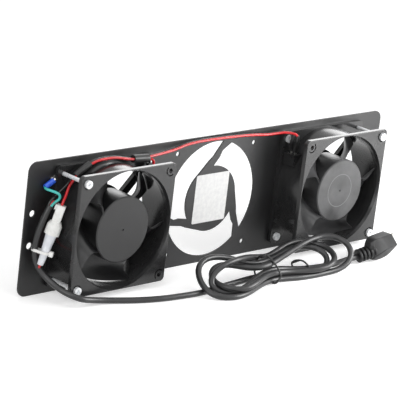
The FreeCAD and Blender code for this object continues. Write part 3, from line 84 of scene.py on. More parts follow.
# ---- Mains cord ----
# A round black three-core cord with a satin PVC jacket. It drops from the fuse holder to the
# floor, runs along it and is tied in a hank of three loose turns, then ends in its plug.
CORD_THICKNESS = 0.006
CORD_ROUTE = [
    (-0.2223, -0.0120, 0.0260), (-0.2275, -0.0105, 0.0140), (-0.2313, -0.0086, -0.0010),
    (-0.2323, -0.0072, -0.0160), (-0.2300, -0.0076, -0.0293), (-0.2248, -0.0129, -0.0400),
    (-0.2196, -0.0235, -0.0476), (-0.2159, -0.0366, -0.0524), (-0.2060, -0.0489, -0.0566),
    (-0.1905, -0.0475, -0.0605), (-0.1705, -0.0501, -0.0631), (-0.1480, -0.0608, -0.0632),
    (-0.1218, -0.0689, -0.0632), (-0.0922, -0.0727, -0.0632), (-0.0707, -0.0740, -0.0632),
    (-0.0531, -0.0715, -0.0632), (-0.0346, -0.0690, -0.0632), (-0.0154, -0.0674, -0.0631),
    (0.0028, -0.0660, -0.0628), (0.0189, -0.0669, -0.0628), (0.0331, -0.0706, -0.0630),
    (0.0466, -0.0747, -0.0632), (0.0631, -0.0785, -0.0632), (0.0784, -0.0816, -0.0632),
    (0.0881, -0.0822, -0.0611), (0.0944, -0.0809, -0.0579), (0.0982, -0.0781, -0.0545),
    (0.0997, -0.0740, -0.0512), (0.0988, -0.0686, -0.0483), (0.0952, -0.0620, -0.0462),
    (0.0879, -0.0549, -0.0456), (0.0758, -0.0509, -0.0467), (0.0588, -0.0540, -0.0477),
    (0.0400, -0.0601, -0.0484), (0.0236, -0.0648, -0.0485), (0.0093, -0.0652, -0.0488),
    (-0.0029, -0.0615, -0.0473), (-0.0150, -0.0566, -0.0436), (-0.0283, -0.0529, -0.0404),
    (-0.0422, -0.0514, -0.0388), (-0.0548, -0.0528, -0.0404), (-0.0637, -0.0571, -0.0448),
    (-0.0690, -0.0642, -0.0505), (-0.0715, -0.0728, -0.0559), (-0.0709, -0.0814, -0.0601),
    (-0.0669, -0.0891, -0.0625), (-0.0596, -0.0951, -0.0632), (-0.0483, -0.0984, -0.0632),
    (-0.0322, -0.0961, -0.0632), (-0.0126, -0.0886, -0.0627), (0.0064, -0.0818, -0.0624),
    (0.0229, -0.0798, -0.0627), (0.0379, -0.0827, -0.0631), (0.0518, -0.0861, -0.0632),
    (0.0676, -0.0876, -0.0632), (0.0866, -0.0879, -0.0632), (0.1040, -0.0904, -0.0613),
    (0.1143, -0.0911, -0.0564), (0.1205, -0.0893, -0.0510), (0.1238, -0.0854, -0.0459),
    (0.1245, -0.0799, -0.0414), (0.1224, -0.0729, -0.0379), (0.1166, -0.0646, -0.0362),
    (0.1056, -0.0576, -0.0368), (0.0888, -0.0573, -0.0391), (0.0683, -0.0619, -0.0418),
    (0.0468, -0.0681, -0.0438), (0.0276, -0.0741, -0.0456), (0.0121, -0.0776, -0.0472),
    (-0.0002, -0.0763, -0.0482), (-0.0102, -0.0704, -0.0485), (-0.0206, -0.0617, -0.0470),
    (-0.0307, -0.0574, -0.0465), (-0.0389, -0.0566, -0.0477), (-0.0453, -0.0584, -0.0500),
    (-0.0500, -0.0625, -0.0527), (-0.0529, -0.0687, -0.0553), (-0.0537, -0.0775, -0.0570),
    (-0.0504, -0.0874, -0.0573), (-0.0442, -0.0939, -0.0578), (-0.0358, -0.0971, -0.0571),
    (-0.0249, -0.0966, -0.0554), (-0.0091, -0.0907, -0.0535), (0.0105, -0.0823, -0.0545),
    (0.0282, -0.0780, -0.0567), (0.0427, -0.0799, -0.0577), (0.0542, -0.0843, -0.0574),
    (0.0654, -0.0890, -0.0565), (0.0773, -0.0926, -0.0552), (0.0891, -0.0928, -0.0528),
    (0.0996, -0.0870, -0.0496), (0.1050, -0.0765, -0.0467), (0.1047, -0.0655, -0.0448),
    (0.1003, -0.0564, -0.0437), (0.0920, -0.0502, -0.0424), (0.0806, -0.0469, -0.0422),
    (0.0667, -0.0466, -0.0445), (0.0515, -0.0496, -0.0478), (0.0356, -0.0538, -0.0491),
    (0.0176, -0.0582, -0.0457), (-0.0046, -0.0647, -0.0402), (-0.0268, -0.0712, -0.0374),
    (-0.0412, -0.0713, -0.0395), (-0.0501, -0.0703, -0.0439), (-0.0556, -0.0703, -0.0486),
    (-0.0586, -0.0715, -0.0529), (-0.0597, -0.0737, -0.0568), (-0.0587, -0.0770, -0.0601),
    (-0.0557, -0.0810, -0.0625), (-0.0504, -0.0856, -0.0632), (-0.0423, -0.0898, -0.0624),
    (-0.0308, -0.0914, -0.0587), (-0.0146, -0.0861, -0.0554), (0.0034, -0.0785, -0.0543),
    (0.0205, -0.0733, -0.0546), (0.0354, -0.0725, -0.0559), (0.0476, -0.0751, -0.0571),
    (0.0586, -0.0796, -0.0574), (0.0700, -0.0841, -0.0565), (0.0834, -0.0875, -0.0557),
    (0.1009, -0.0859, -0.0566), (0.1214, -0.0785, -0.0592), (0.1385, -0.0732, -0.0606),
    (0.1478, -0.0749, -0.0596),
]


def shader(name):
    """A new material, its main shader and its node tree."""
    material = bpy.data.materials.new(name)
    material.use_nodes = True
    return material, material.node_tree.nodes["Principled BSDF"], material.node_tree


def noise_of(tree, scale, detail=3.0, stretch=(1, 1, 1)):
    """Noise on the object's own coordinates, scale in grains per metre."""
    where = tree.nodes.new("ShaderNodeTexCoord")
    fit = tree.nodes.new("ShaderNodeMapping")
    fit.inputs["Scale"].default_value = stretch
    noise = tree.nodes.new("ShaderNodeTexNoise")
    noise.inputs["Scale"].default_value = scale
    noise.inputs["Detail"].default_value = detail
    tree.links.new(where.outputs["Object"], fit.inputs["Vector"])
    tree.links.new(fit.outputs["Vector"], noise.inputs["Vector"])
    return noise.outputs["Fac"]


def relief(tree, look, height, depth, strength):
    """Raises the surface by a height pattern, depth in metres."""
    bump = tree.nodes.new("ShaderNodeBump")
    bump.inputs["Strength"].default_value = strength
    bump.inputs["Distance"].default_value = depth
    tree.links.new(height, bump.inputs["Height"])
    tree.links.new(bump.outputs["Normal"], look.inputs["Normal"])


def blend_colours(tree, look, pattern, dark, light, low=0.35, high=0.65):
    """Base colour drifting between two shades with a pattern."""
    ramp = tree.nodes.new("ShaderNodeValToRGB")
    ramp.color_ramp.elements[0].position = low
    ramp.color_ramp.elements[1].position = high
    ramp.color_ramp.elements[0].color = (*dark, 1)
    ramp.color_ramp.elements[1].color = (*light, 1)
    tree.links.new(pattern, ramp.inputs["Fac"])
    tree.links.new(ramp.outputs["Color"], look.inputs["Base Color"])


def blend_gloss(tree, look, pattern, smooth, rough, low=0.3, high=0.7):
    """Roughness drifting between two levels with a pattern."""
    level = tree.nodes.new("ShaderNodeMapRange")
    level.inputs["From Min"].default_value = low
    level.inputs["From Max"].default_value = high
    level.inputs["To Min"].default_value = smooth
    level.inputs["To Max"].default_value = rough
    tree.links.new(pattern, level.inputs["Value"])
    tree.links.new(level.outputs["Result"], look.inputs["Roughness"])


def finish(name, dark, light, roughness, grain, detail=3.0, stretch=(1, 1, 1), metallic=0.0,
           bumps=None, bump_detail=3.0, depth=0.0, strength=1.0):
    """A material whose shade and gloss drift together with one noise.

    A relief, where it has one, follows a noise of its own, or the same one without bumps."""
    material, look, tree = shader(name)
    look.inputs["Metallic"].default_value = metallic
    drift = noise_of(tree, grain, detail, stretch)
    blend_colours(tree, look, drift, dark, light)
    blend_gloss(tree, look, drift, *roughness)
    if depth:
        height = noise_of(tree, bumps, bump_detail) if bumps else drift
        relief(tree, look, height, depth, strength)
    return material


def lay_line(data, points, closed=False):
    """Adds one smooth line through a row of control points to a curve."""
    line = data.splines.new("NURBS")
    line.points.add(len(points) - 1)
    for point, place in zip(line.points, points):
        point.co = (*place, 1)
    line.order_u = 3
    line.use_endpoint_u = not closed
    line.use_cyclic_u = closed


def round_cord(name, points, thickness, material, closed=False):
    """A smooth round cord whose control points are its route."""
    data = bpy.data.curves.new(name, "CURVE")
    data.dimensions = "3D"
    data.resolution_u = 10
    data.bevel_depth = thickness / 2
    data.bevel_resolution = 5
    data.use_fill_caps = True
    lay_line(data, points, closed)
    data.materials.append(material)
    cord = bpy.data.objects.new(name, data)
    scene.collection.objects.link(cord)
    return cord


jacket = finish("satin black jacket", (0.015, 0.015, 0.0155), (0.023, 0.023, 0.024), roughness=(0.3, 0.4),
                grain=60.0, bumps=420.0, depth=0.00004, strength=0.18)
mains_cord = round_cord("power_cord", CORD_ROUTE, CORD_THICKNESS, jacket)
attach(mains_cord, "root")
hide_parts("mains_cord", "cord_hank")

# ---- Leads ----
# Single stranded wires in glossy PVC: red and black from the cord and the fuse holder to the
# splice and on to the right fan, green to the earth terminal, red back into the cord's jacket.
LEAD_THICKNESS = 0.0026
RED_ROUTE = [
    (-0.2144, -0.0193, 0.0275), (-0.2135, -0.0197, 0.0314), (-0.2100, -0.0186, 0.0360),
    (-0.2050, -0.0156, 0.0425), (-0.1995, -0.0134, 0.0465), (-0.1937, -0.0124, 0.0518),
    (-0.1845, -0.0119, 0.0568), (-0.1745, -0.0119, 0.0618), (-0.1630, -0.0119, 0.0640),
    (-0.1455, -0.0124, 0.0638), (-0.1330, -0.0134, 0.0610), (-0.1235, -0.0134, 0.0596),
]
BLACK_ROUTE = [
    (-0.2235, -0.0112, 0.0266), (-0.2226, -0.0113, 0.0301), (-0.2175, -0.0115, 0.0335),
    (-0.2115, -0.0110, 0.0375), (-0.2055, -0.0108, 0.0415), (-0.1995, -0.0106, 0.0465),
    (-0.1937, -0.0096, 0.0518), (-0.1845, -0.0091, 0.0568), (-0.1745, -0.0091, 0.0618),
    (-0.1630, -0.0091, 0.0640), (-0.1455, -0.0096, 0.0638), (-0.1330, -0.0106, 0.0610),
    (-0.1235, -0.0106, 0.0596),
]
RED_FAR_ROUTE = [
    (-0.1040, -0.0133, 0.0598), (-0.1005, -0.0136, 0.0599), (-0.0640, -0.0074, 0.0602),
    (-0.0480, -0.0055, 0.0632), (-0.0260, -0.0054, 0.0644), (0.0000, -0.0054, 0.0642),
    (0.0240, -0.0054, 0.0636), (0.0460, -0.0054, 0.0626), (0.0640, -0.0054, 0.0604),
    (0.0780, -0.0069, 0.0610), (0.0885, -0.0102, 0.0618), (0.0970, -0.0155, 0.0602),
    (0.0990, -0.0155, 0.0567), (0.0990, -0.0155, 0.0522),
]
BLACK_FAR_ROUTE = [
    (-0.1040, -0.0107, 0.0598), (-0.1005, -0.0104, 0.0599), (-0.0640, -0.0046, 0.0602),
    (-0.0480, -0.0027, 0.0632), (-0.0260, -0.0026, 0.0644), (0.0000, -0.0026, 0.0642),
    (0.0240, -0.0026, 0.0636), (0.0460, -0.0026, 0.0626), (0.0640, -0.0026, 0.0604),
    (0.0780, -0.0041, 0.0610), (0.0885, -0.0074, 0.0618), (0.0970, -0.0095, 0.0602),
    (0.0990, -0.0095, 0.0567), (0.0990, -0.0095, 0.0522),
]
EARTH_ROUTE = [
    (-0.2224, -0.0136, 0.0258), (-0.2210, -0.0146, 0.0290), (-0.2160, -0.0178, 0.0336),
    (-0.2166, -0.0172, 0.0384), (-0.2205, -0.0100, 0.0397), (-0.2237, -0.0046, 0.0405),
    (-0.2229, -0.0032, 0.0415),
]
TAIL_ROUTE = [
    (-0.2284, -0.0133, -0.0305), (-0.2290, -0.0130, -0.0330), (-0.2268, -0.0095, -0.0355),
    (-0.2205, -0.0060, -0.0305), (-0.2138, -0.0050, -0.0205), (-0.2120, -0.0050, -0.0060),
    (-0.2119, -0.0056, 0.0040), (-0.2118, -0.0085, 0.0140), (-0.2119, -0.0106, 0.0215),
    (-0.2138, -0.0116, 0.0280), (-0.2180, -0.0119, 0.0302), (-0.2212, -0.0119, 0.0290),
    (-0.2221, -0.0119, 0.0262),
]


def insulation(name, dark, light):
    """Glossy PVC insulation, its shade drifting a little along the wire."""
    return finish(name, dark, light, roughness=(0.2, 0.3), grain=90.0, bumps=1400.0, depth=0.00003,
                  strength=0.4)


red_pvc = insulation("red insulation", (0.5, 0.008, 0.012), (0.62, 0.014, 0.02))
black_pvc = insulation("black insulation", (0.011, 0.011, 0.011), (0.018, 0.018, 0.018))
green_pvc = insulation("green insulation", (0.03, 0.38, 0.34), (0.05, 0.5, 0.46))
for name, node, route, length, pvc, slot_name in (
        ("red_wire", "red_lead", RED_ROUTE, 0.1065, red_pvc, "red_insulation"),
        ("black_wire", "black_lead", BLACK_ROUTE, 0.1125, black_pvc, "black_insulation"),
        ("red_far_wire", "right_red_lead", RED_FAR_ROUTE, 0.212, red_pvc, "red_insulation"),
        ("black_far_wire", "right_black_lead", BLACK_FAR_ROUTE, 0.211, black_pvc, "black_insulation"),
        ("earth_wire", "earth_lead", EARTH_ROUTE, 0.0305, green_pvc, "green_insulation"),
        ("tail_wire", "tail_lead", TAIL_ROUTE, 0.0865, red_pvc, "red_insulation")):
    wire = round_cord(name, route, LEAD_THICKNESS, pvc)
    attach(wire, "root")
    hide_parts(node)


def dress(material, *nodes):
    """Gives a finish to solids that keep their shape."""
    for name in nodes:
        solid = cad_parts[name]
        solid.data.materials.clear()
        solid.data.materials.append(material)


dress(red_pvc, "left_red_lead")
dress(black_pvc, "left_black_lead")

# ---- Panel ----
# Steel sheet cut to a rack panel, with a guard cut out of it at each fan position, and powder
# coated satin black all over; the coat has the faint orange peel of a sprayed powder.
coat = finish("black powder coat", (0.0105, 0.0105, 0.011), (0.0145, 0.0145, 0.015), roughness=(0.36, 0.43),
              grain=22.0, detail=4.0, bumps=500.0, bump_detail=2.0, depth=0.00005, strength=0.2)
dress(coat, "panel")

# ---- Sticker ----
# A bare white film label, slightly glossy and with a fine fibre in it, stuck on the disc of
# the middle guard.
film = finish("white label film", (0.56, 0.56, 0.56), (0.64, 0.64, 0.63), roughness=(0.42, 0.55),
              grain=260.0, detail=5.0, bumps=1800.0, depth=0.00002, strength=0.4)
dress(film, "guard_sticker")

# ---- Fan housings ----
# One glass-filled black moulding each: two square flanges on a round duct, with the struts
# that hold the motor. The mould leaves a glossy skin with a faint flow pattern.
moulded = finish("glossy black moulding", (0.016, 0.016, 0.0165), (0.024, 0.024, 0.0245),
                 roughness=(0.16, 0.22), grain=34.0, detail=4.0, stretch=(1, 2.5, 1),
                 bumps=260.0, bump_detail=2.0, depth=0.00004, strength=0.12)
dress(moulded, "left_housing", "right_housing")

# ---- Impellers ----
# Five blades and a closed hub in one smooth moulding. The hub's face keeps the mould's centre pip,
# and the right fan's also a turned witness ring. The right fan's plastic is painted paler than the
# left's: painted light, standing in for the brighter light that falls on the right fan.
FAN_OFFSET = 0.15
RING_RADIUS = 0.0172
RING_HALF_WIDTH = 0.0004


def impeller_finish(name, side, ring, dark, light):
    """Smooth dark plastic, paler by the ring's strength on a circle round the fan's axis."""
    material, look, tree = shader(name)
    flow = noise_of(tree, 40.0, detail=4.0)
    where = tree.nodes.new("ShaderNodeTexCoord")
    centred = tree.nodes.new("ShaderNodeMapping")
    centred.inputs["Location"].default_value = (-side * FAN_OFFSET, 0, 0)
    flat = tree.nodes.new("ShaderNodeVectorMath")
    flat.operation = "MULTIPLY"
    flat.inputs[1].default_value = (1, 0, 1)
    reach = tree.nodes.new("ShaderNodeVectorMath")
    reach.operation = "LENGTH"
    band = tree.nodes.new("ShaderNodeMath")
    band.operation = "COMPARE"
    band.inputs[1].default_value = RING_RADIUS
    band.inputs[2].default_value = RING_HALF_WIDTH
    tree.links.new(where.outputs["Object"], centred.inputs["Vector"])
    tree.links.new(centred.outputs["Vector"], flat.inputs[0])
    tree.links.new(flat.outputs["Vector"], reach.inputs[0])
    tree.links.new(reach.outputs["Value"], band.inputs[0])
    lifted = tree.nodes.new("ShaderNodeMath")
    lifted.operation = "MULTIPLY_ADD"
    lifted.inputs[1].default_value = ring
    tree.links.new(band.outputs[0], lifted.inputs[0])
    tree.links.new(flow, lifted.inputs[2])
    blend_colours(tree, look, lifted.outputs[0], dark, light, low=0.3, high=0.7 + ring)
    blend_gloss(tree, look, flow, smooth=0.3, rough=0.36)
    relief(tree, look, noise_of(tree, 120.0, detail=1.0), depth=0.00004, strength=0.1)
    return material


left_plastic = impeller_finish("left impeller plastic", side=-1, ring=0.0,
                               dark=(0.008, 0.008, 0.0085), light=(0.012, 0.012, 0.0125))
# Painted light: the right impeller's shades are several times paler than the left's, standing in for the
# stronger light on the right fan.
right_plastic_painted_lighter = impeller_finish("right impeller plastic painted lighter", side=1, ring=0.6,
                                dark=(0.016, 0.016, 0.0165), light=(0.11, 0.11, 0.113))
dress(left_plastic, "left_impeller")
dress(right_plastic_painted_lighter, "right_impeller")

# ---- Motors ----
# Stacked electrical steel with enamelled copper coils on it, sintered bearings, a ground shaft
# with its spring clip and the drawn steel ring in the hub.
def lined_steel(name, dark, light, roughness, lines):
    """Bare steel with fine lines across the motor's axis."""
    return finish(name, dark, light, roughness, grain=lines, detail=2.0, stretch=(0.02, 1, 0.02),
                  metallic=1.0, depth=0.00004, strength=0.5)


stacked_steel = lined_steel("stacked steel", (0.3, 0.3, 0.31), (0.46, 0.46, 0.48), (0.35, 0.5), lines=2000.0)
drawn_steel = lined_steel("drawn steel", (0.38, 0.38, 0.4), (0.5, 0.5, 0.52), (0.3, 0.42), lines=900.0)
ground_steel = lined_steel("ground steel", (0.52, 0.52, 0.54), (0.64, 0.64, 0.66), (0.2, 0.3), lines=3000.0)
copper = finish("enamelled copper", (0.5, 0.22, 0.1), (0.72, 0.4, 0.22), roughness=(0.25, 0.4), metallic=1.0,
                grain=1600.0, detail=1.0, stretch=(1, 0.1, 1), depth=0.0001, strength=0.6)
bronze = finish("sintered bronze", (0.42, 0.3, 0.16), (0.62, 0.48, 0.3), roughness=(0.42, 0.6), metallic=1.0,
                grain=2600.0, detail=4.0, depth=0.00004, strength=0.6)
for fan in ("left", "right"):
    dress(stacked_steel, f"{fan}_stator_core")
    dress(drawn_steel, f"{fan}_rotor_ring")
    dress(ground_steel, f"{fan}_shaft", f"{fan}_shaft_clip")
    dress(copper, f"{fan}_windings")
    dress(bronze, f"{fan}_bearings")

# ---- Screws and nuts ----
# Pan-head machine screws with cross recesses through the flanges, and hexagon nuts, all in
# bright zinc plate that clouds a little.
zinc = finish("bright zinc plate", (0.74, 0.76, 0.78), (0.9, 0.91, 0.92), roughness=(0.26, 0.42),
              metallic=0.35, grain=700.0, detail=4.0, bumps=2400.0, depth=0.00002, strength=0.4)
for fan in ("left", "right"):
    dress(zinc, f"{fan}_long_screws", f"{fan}_short_screws", f"{fan}_nuts")

# ---- Terminals ----
# Tinned tabs and a tinned ring terminal with its blue vinyl crimp sleeve; black rubber on the
# fans' receptacles and over the leads and their splice, and a short moulded boot where each
# far lead enters its receptacle.
tin = finish("tinned brass", (0.6, 0.59, 0.57), (0.78, 0.77, 0.75), roughness=(0.22, 0.38), metallic=1.0,
             grain=900.0, depth=0.00002, strength=0.4)
dress(tin, "ring_terminal", "left_spade_tabs", "right_spade_tabs")
vinyl = finish("blue vinyl", (0.02, 0.085, 0.55), (0.035, 0.13, 0.72), roughness=(0.22, 0.34),
               grain=300.0, bumps=1500.0, depth=0.00004, strength=0.4)
dress(vinyl, "crimp_sleeve")
rubber = finish("black boot rubber", (0.01, 0.01, 0.01), (0.018, 0.018, 0.018), roughness=(0.34, 0.5),
                grain=200.0, bumps=1600.0, depth=0.00004, strength=0.5)
dress(rubber, "left_receptacles", "right_receptacles", "lead_sleeve", "splice_sleeve")
BOOT_LENGTH = 0.0068
BOOT_FOOT = 0.0023
BOOT_MOUTH = 0.0018
BOOT_OVERLAP = 0.0004
BOOT_EDGE = 0.0004
BOOT_FACETS = 28


def round_creases(shape, angle, width, segments, clamp=False):
    """Rounds a shape's edges that turn by more than an angle, in radians."""
    folded = [edge for edge in shape.edges if len(edge.link_faces) == 2]
    creases = [edge for edge in folded if edge.calc_face_angle(0) > angle]
    bmesh.ops.bevel(shape, geom=creases, offset=width, segments=segments, affect="EDGES", profile=0.5,
                    material=-1, clamp_overlap=clamp)


def moulded_piece(name, shape, material):
    """Makes a shape a smooth-shaded piece of the fixed body."""
    for face in shape.faces:
        face.smooth = True
    mesh = bpy.data.meshes.new(name)
    shape.to_mesh(mesh)
    mesh.materials.append(material)
    piece = bpy.data.objects.new(name, mesh)
    scene.collection.objects.link(piece)
    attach(piece, "root")
    return piece


boots = bmesh.new()
for lead_end in (RED_FAR_ROUTE[-1], BLACK_FAR_ROUTE[-1]):
    boot = bmesh.ops.create_cone(boots, cap_ends=True, segments=BOOT_FACETS, radius1=BOOT_FOOT,
                                 radius2=BOOT_MOUTH, depth=BOOT_LENGTH)
    middle = Vector(lead_end) + Vector((0, 0, BOOT_LENGTH / 2 - BOOT_OVERLAP))
    bmesh.ops.translate(boots, verts=boot["verts"], vec=middle)
round_creases(boots, angle=1.0, width=BOOT_EDGE, segments=3)
moulded_piece("terminal_boots", boots, rubber)

# ---- Fuse holder ----
# White nylon cap and collar with a milky body tapering to the lead's exit, and a white nylon
# cable tie that holds the holder to the cord; light goes a little way into all of them.
def nylon(name, dark, light, roughness, reach):
    """Natural nylon: light scatters just under the skin, as far as its reach."""
    material = finish(name, dark, light, roughness, grain=160.0, detail=4.0, bumps=1300.0, depth=0.00004,
                      strength=0.3)
    look = material.node_tree.nodes["Principled BSDF"]
    look.inputs["Subsurface Weight"].default_value = 0.4
    look.inputs["Subsurface Radius"].default_value = (1.0, 1.0, 1.0)
    look.inputs["Subsurface Scale"].default_value = reach
    return material


white_nylon = nylon("white nylon", (0.76, 0.76, 0.74), (0.84, 0.84, 0.82), (0.24, 0.36), reach=0.0015)
milky_nylon = nylon("milky nylon", (0.7, 0.72, 0.76), (0.8, 0.82, 0.86), (0.18, 0.3), reach=0.004)
tie_nylon = nylon("tie nylon", (0.76, 0.76, 0.74), (0.84, 0.84, 0.82), (0.24, 0.36), reach=0.001)
dress(white_nylon, "fuse_holder_cap")
dress(milky_nylon, "fuse_holder_tube")
dress(tie_nylon, "cable_tie")

# ---- Hank ties ----
# Two lengths of thin wire with a black coat, each bent once round the hank's strands and
# locked by a short twisted end.
coated = finish("black coated wire", (0.008, 0.008, 0.008), (0.015, 0.015, 0.015), roughness=(0.3, 0.42),
                grain=300.0, bumps=1800.0, depth=0.00004, strength=0.5)
TIE_THICKNESS = 0.0019
LEFT_TIE = [
    (0.0165, -0.0746, -0.0405), (0.0182, -0.0800, -0.0447), (0.0202, -0.0840, -0.0492),
    (0.0211, -0.0865, -0.0531), (0.0218, -0.0880, -0.0571), (0.0197, -0.0872, -0.0605),
    (0.0180, -0.0856, -0.0650), (0.0156, -0.0736, -0.0650), (0.0150, -0.0599, -0.0650),
    (0.0144, -0.0573, -0.0560), (0.0116, -0.0630, -0.0449), (0.0091, -0.0678, -0.0401),
    (0.0113, -0.0702, -0.0381), (0.0148, -0.0723, -0.0385),
]
LEFT_TWIST = [
    (0.0130, -0.0712, -0.0378), (0.0118, -0.0716, -0.0392), (0.0106, -0.0706, -0.0398),
    (0.0102, -0.0690, -0.0416),
]
RIGHT_TIE = [
    (0.0621, -0.0624, -0.0576), (0.0629, -0.0651, -0.0541), (0.0634, -0.0708, -0.0514),
    (0.0636, -0.0770, -0.0504), (0.0635, -0.0829, -0.0522), (0.0652, -0.0863, -0.0559),
    (0.0650, -0.0831, -0.0636), (0.0654, -0.0843, -0.0650), (0.0678, -0.0719, -0.0650),
    (0.0642, -0.0649, -0.0619),
]
RIGHT_TWIST = [
    (0.0645, -0.0722, -0.0513), (0.0622, -0.0704, -0.0528), (0.0614, -0.0672, -0.0546),
    (0.0600, -0.0655, -0.0560),
]


def wire_tie(name, loop, twist, node):
    """A closed turn of thin wire and the short twisted end that locks it."""
    tie = round_cord(name, loop, TIE_THICKNESS, coated, closed=True)
    lay_line(tie.data, twist)
    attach(tie, "root")
    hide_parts(node)


wire_tie("left_wire_tie", LEFT_TIE, LEFT_TWIST, "left_twist_tie")
wire_tie("right_wire_tie", RIGHT_TIE, RIGHT_TWIST, "right_twist_tie")

# ---- Plug ----
# A matt black PVC moulding over the cord's end: a ribbed relief that lets the cord bend, and
# an eight-sided block that widens to a blunt face, with two bright nickel pins.
plug_pvc = finish("matt black PVC", (0.007, 0.007, 0.0075), (0.011, 0.011, 0.0115), roughness=(0.46, 0.58),
                  grain=110.0, detail=4.0, bumps=1500.0, bump_detail=4.0, depth=0.00006, strength=0.5)
plug_pvc.node_tree.nodes["Principled BSDF"].inputs["Specular IOR Level"].default_value = 0.32
RELIEF_START = Vector((0.1478, -0.0749, -0.0590))
RELIEF_AXIS = Vector((0.934, -0.227, 0.27)).normalized()
RELIEF_LENGTH = 0.022
RELIEF_RADIUS = 0.0072
CORE_RADIUS = 0.0050
RIB_COUNT = 5
RIB_SHARE = 0.58
RIB_EDGE = 0.0004
TURN_STEPS = 40
WELD_DISTANCE = 0.00001
rib_pitch = RELIEF_LENGTH / RIB_COUNT
rib_outline = ((0, RELIEF_RADIUS), (RIB_SHARE, RELIEF_RADIUS), (RIB_SHARE, CORE_RADIUS), (1, CORE_RADIUS))
outline = [Vector((0, 0, 0))]
for rib in range(RIB_COUNT):
    for share, radius in rib_outline:
        outline.append(Vector((radius, 0, (rib + share) * rib_pitch)))
outline.append(Vector((0, 0, RELIEF_LENGTH)))
relief_shape = bmesh.new()
line = [relief_shape.verts.new(place) for place in outline]
edges = [relief_shape.edges.new(pair) for pair in zip(line, line[1:])]
bmesh.ops.spin(relief_shape, geom=line + edges, cent=(0, 0, 0), axis=(0, 0, 1), angle=2 * pi,
               steps=TURN_STEPS, use_merge=True)
bmesh.ops.remove_doubles(relief_shape, verts=relief_shape.verts, dist=WELD_DISTANCE)
bmesh.ops.recalc_face_normals(relief_shape, faces=relief_shape.faces)
round_creases(relief_shape, angle=1.0, width=RIB_EDGE, segments=2)
along_axis = RELIEF_AXIS.to_track_quat("Z", "Y").to_matrix()
bmesh.ops.rotate(relief_shape, verts=relief_shape.verts, matrix=along_axis)
bmesh.ops.translate(relief_shape, verts=relief_shape.verts, vec=RELIEF_START)
ribbed_relief = moulded_piece("ribbed_relief", relief_shape, plug_pvc)
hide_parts("plug_relief")
PLUG_CORNER = Vector((0.1937, -0.0777, -0.0402))
PLUG_AXIS = Vector((0.982, 0.189, 0)).normalized()
PLUG_SIDE = Vector((0.189, -0.982, 0)).normalized()
PLUG_MIDDLE = 0.0055
PLUG_EDGE = 0.0011
# Each section is its depth behind the face, and its near half from the top down.
PLUG_SECTIONS = [
    (0.0, ((0.0055, 0), (0.0142, -0.0095), (0.0072, -0.0201), (0.0025, -0.0256))),
    (0.010, ((0.0055, 0), (0.0142, -0.0095), (0.0080, -0.0210), (0.0030, -0.0259))),
    (0.020, ((0.0055, 0), (0.0138, -0.0105), (0.0072, -0.0220), (0.0030, -0.0256))),
    (0.026, ((0.0055, 0), (0.0110, -0.0145), (0.0068, -0.0220), (0.0030, -0.0246))),
    (0.031, ((0.0055, -0.0002), (0.0074, -0.0185), (0.0062, -0.0215), (0.0025, -0.0226))),
    (0.034, ((0.0046, -0.0012), (0.0060, -0.0070), (0.0050, -0.0130), (0.0020, -0.0150))),
    (0.038, ((0.0028, -0.0035), (0.0036, -0.0055), (0.0028, -0.0080), (0.0012, -0.0090))),
]
block = bmesh.new()
hoops = []
for depth, half in PLUG_SECTIONS:
    around = list(half) + [(-across, down) for across, down in reversed(half)]
    middle = PLUG_CORNER - PLUG_SIDE * PLUG_MIDDLE - PLUG_AXIS * depth
    corners = [block.verts.new(middle + PLUG_SIDE * across + Vector((0, 0, down))) for across, down in around]
    hoops.append([block.edges.new((corners[spot - 1], corners[spot])) for spot in range(len(corners))])
for front, behind in zip(hoops, hoops[1:]):
    bmesh.ops.bridge_loops(block, edges=front + behind)
bmesh.ops.edgeloop_fill(block, edges=hoops[0])
bmesh.ops.edgeloop_fill(block, edges=hoops[-1])
bmesh.ops.recalc_face_normals(block, faces=block.faces)
round_creases(block, angle=0.3, width=PLUG_EDGE, segments=3, clamp=True)
plug_block = moulded_piece("plug_block", block, plug_pvc)
firm = plug_block.modifiers.new("firm", "WEIGHTED_NORMAL")
firm.keep_sharp = True
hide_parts("plug_body")
nickel = finish("nickel plate", (0.7, 0.69, 0.66), (0.82, 0.81, 0.78), roughness=(0.1, 0.22), metallic=1.0,
                grain=800.0)
dress(nickel, "plug_pins")

# ---- Floor and light ----
# A white table top and a pale world, with a broad soft light overhead, small ones near the
# right and the left end, a weak one in front, and one behind that lights the upper edges.
TABLE_HALF = 6
TABLE_LEVEL = cad_box[0][2]
TABLE_GLOW = 0.45
SKY_LEVEL = 0.4
floor_mesh = bpy.data.meshes.new("table_top")
floor_shape = bmesh.new()
bmesh.ops.create_grid(floor_shape, x_segments=1, y_segments=1, size=TABLE_HALF)
bmesh.ops.translate(floor_shape, verts=floor_shape.verts, vec=(0, 0, TABLE_LEVEL))
floor_shape.to_mesh(floor_mesh)
floor = bpy.data.objects.new("table_top", floor_mesh)
scene.collection.objects.link(floor)
white, look, tree = shader("white table top")
look.inputs["Base Color"].default_value = (0.8, 0.8, 0.8, 1)
look.inputs["Roughness"].default_value = 1
look.inputs["Specular IOR Level"].default_value = 0
look.inputs["Emission Color"].default_value = (1, 1, 1, 1)


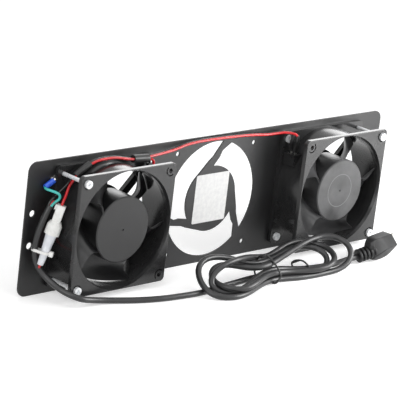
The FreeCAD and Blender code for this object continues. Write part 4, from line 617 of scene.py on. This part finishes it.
def seen_directly(tree):
    """One where a surface is seen, straight, mirrored or through glass; nought for lighting rays."""
    rays = tree.nodes.new("ShaderNodeLightPath")
    first = tree.nodes.new("ShaderNodeMath")
    first.operation = "MAXIMUM"
    both = tree.nodes.new("ShaderNodeMath")
    both.operation = "MAXIMUM"
    tree.links.new(rays.outputs["Is Camera Ray"], first.inputs[0])
    tree.links.new(rays.outputs["Is Glossy Ray"], first.inputs[1])
    tree.links.new(first.outputs[0], both.inputs[0])
    tree.links.new(rays.outputs["Is Transmission Ray"], both.inputs[1])
    return both.outputs[0]


glow = tree.nodes.new("ShaderNodeMapRange")
glow.inputs["To Min"].default_value = 0.0
glow.inputs["To Max"].default_value = TABLE_GLOW
tree.links.new(seen_directly(tree), glow.inputs["Value"])
tree.links.new(glow.outputs["Result"], look.inputs["Emission Strength"])
floor_mesh.materials.append(white)

world = bpy.data.worlds.new("studio")
scene.world = world
world.use_nodes = True
sky = world.node_tree.nodes["Background"]
sky.inputs["Color"].default_value = (1, 1, 1, 1)
level = world.node_tree.nodes.new("ShaderNodeMapRange")
level.inputs["To Min"].default_value = SKY_LEVEL
level.inputs["To Max"].default_value = 1.0
world.node_tree.links.new(seen_directly(world.node_tree), level.inputs["Value"])
world.node_tree.links.new(level.outputs["Result"], sky.inputs["Strength"])


def soft_light(name, place, size, power, aim=(0, 0, 0)):
    """A rectangular lamp at a place, turned towards its aim."""
    data = bpy.data.lights.new(name, "AREA")
    data.shape = "RECTANGLE"
    data.size, data.size_y = size
    data.energy = power
    lamp = bpy.data.objects.new(name, data)
    facing = (Vector(place) - Vector(aim)).to_track_quat("Z", "Y").to_matrix().to_4x4()
    lamp.matrix_world = Matrix.Translation(place) @ facing
    scene.collection.objects.link(lamp)


soft_light("overhead", place=(-0.3, -0.5, 1.5), size=(1.4, 1.4), power=6.5)
soft_light("right_front", place=(0.46, -0.43, 0.19), size=(0.4, 0.4), power=5.2, aim=(0.15, 0, 0))
soft_light("left_side", place=(-1.0, -0.4, 0.35), size=(0.6, 0.6), power=3.4, aim=(-0.2, 0, 0))
soft_light("front", place=(-0.1, -1.7, 0.6), size=(1.3, 0.7), power=2.5)
soft_light("far_rim", place=(1.5, 1.5, 0.75), size=(1.6, 0.8), power=12)
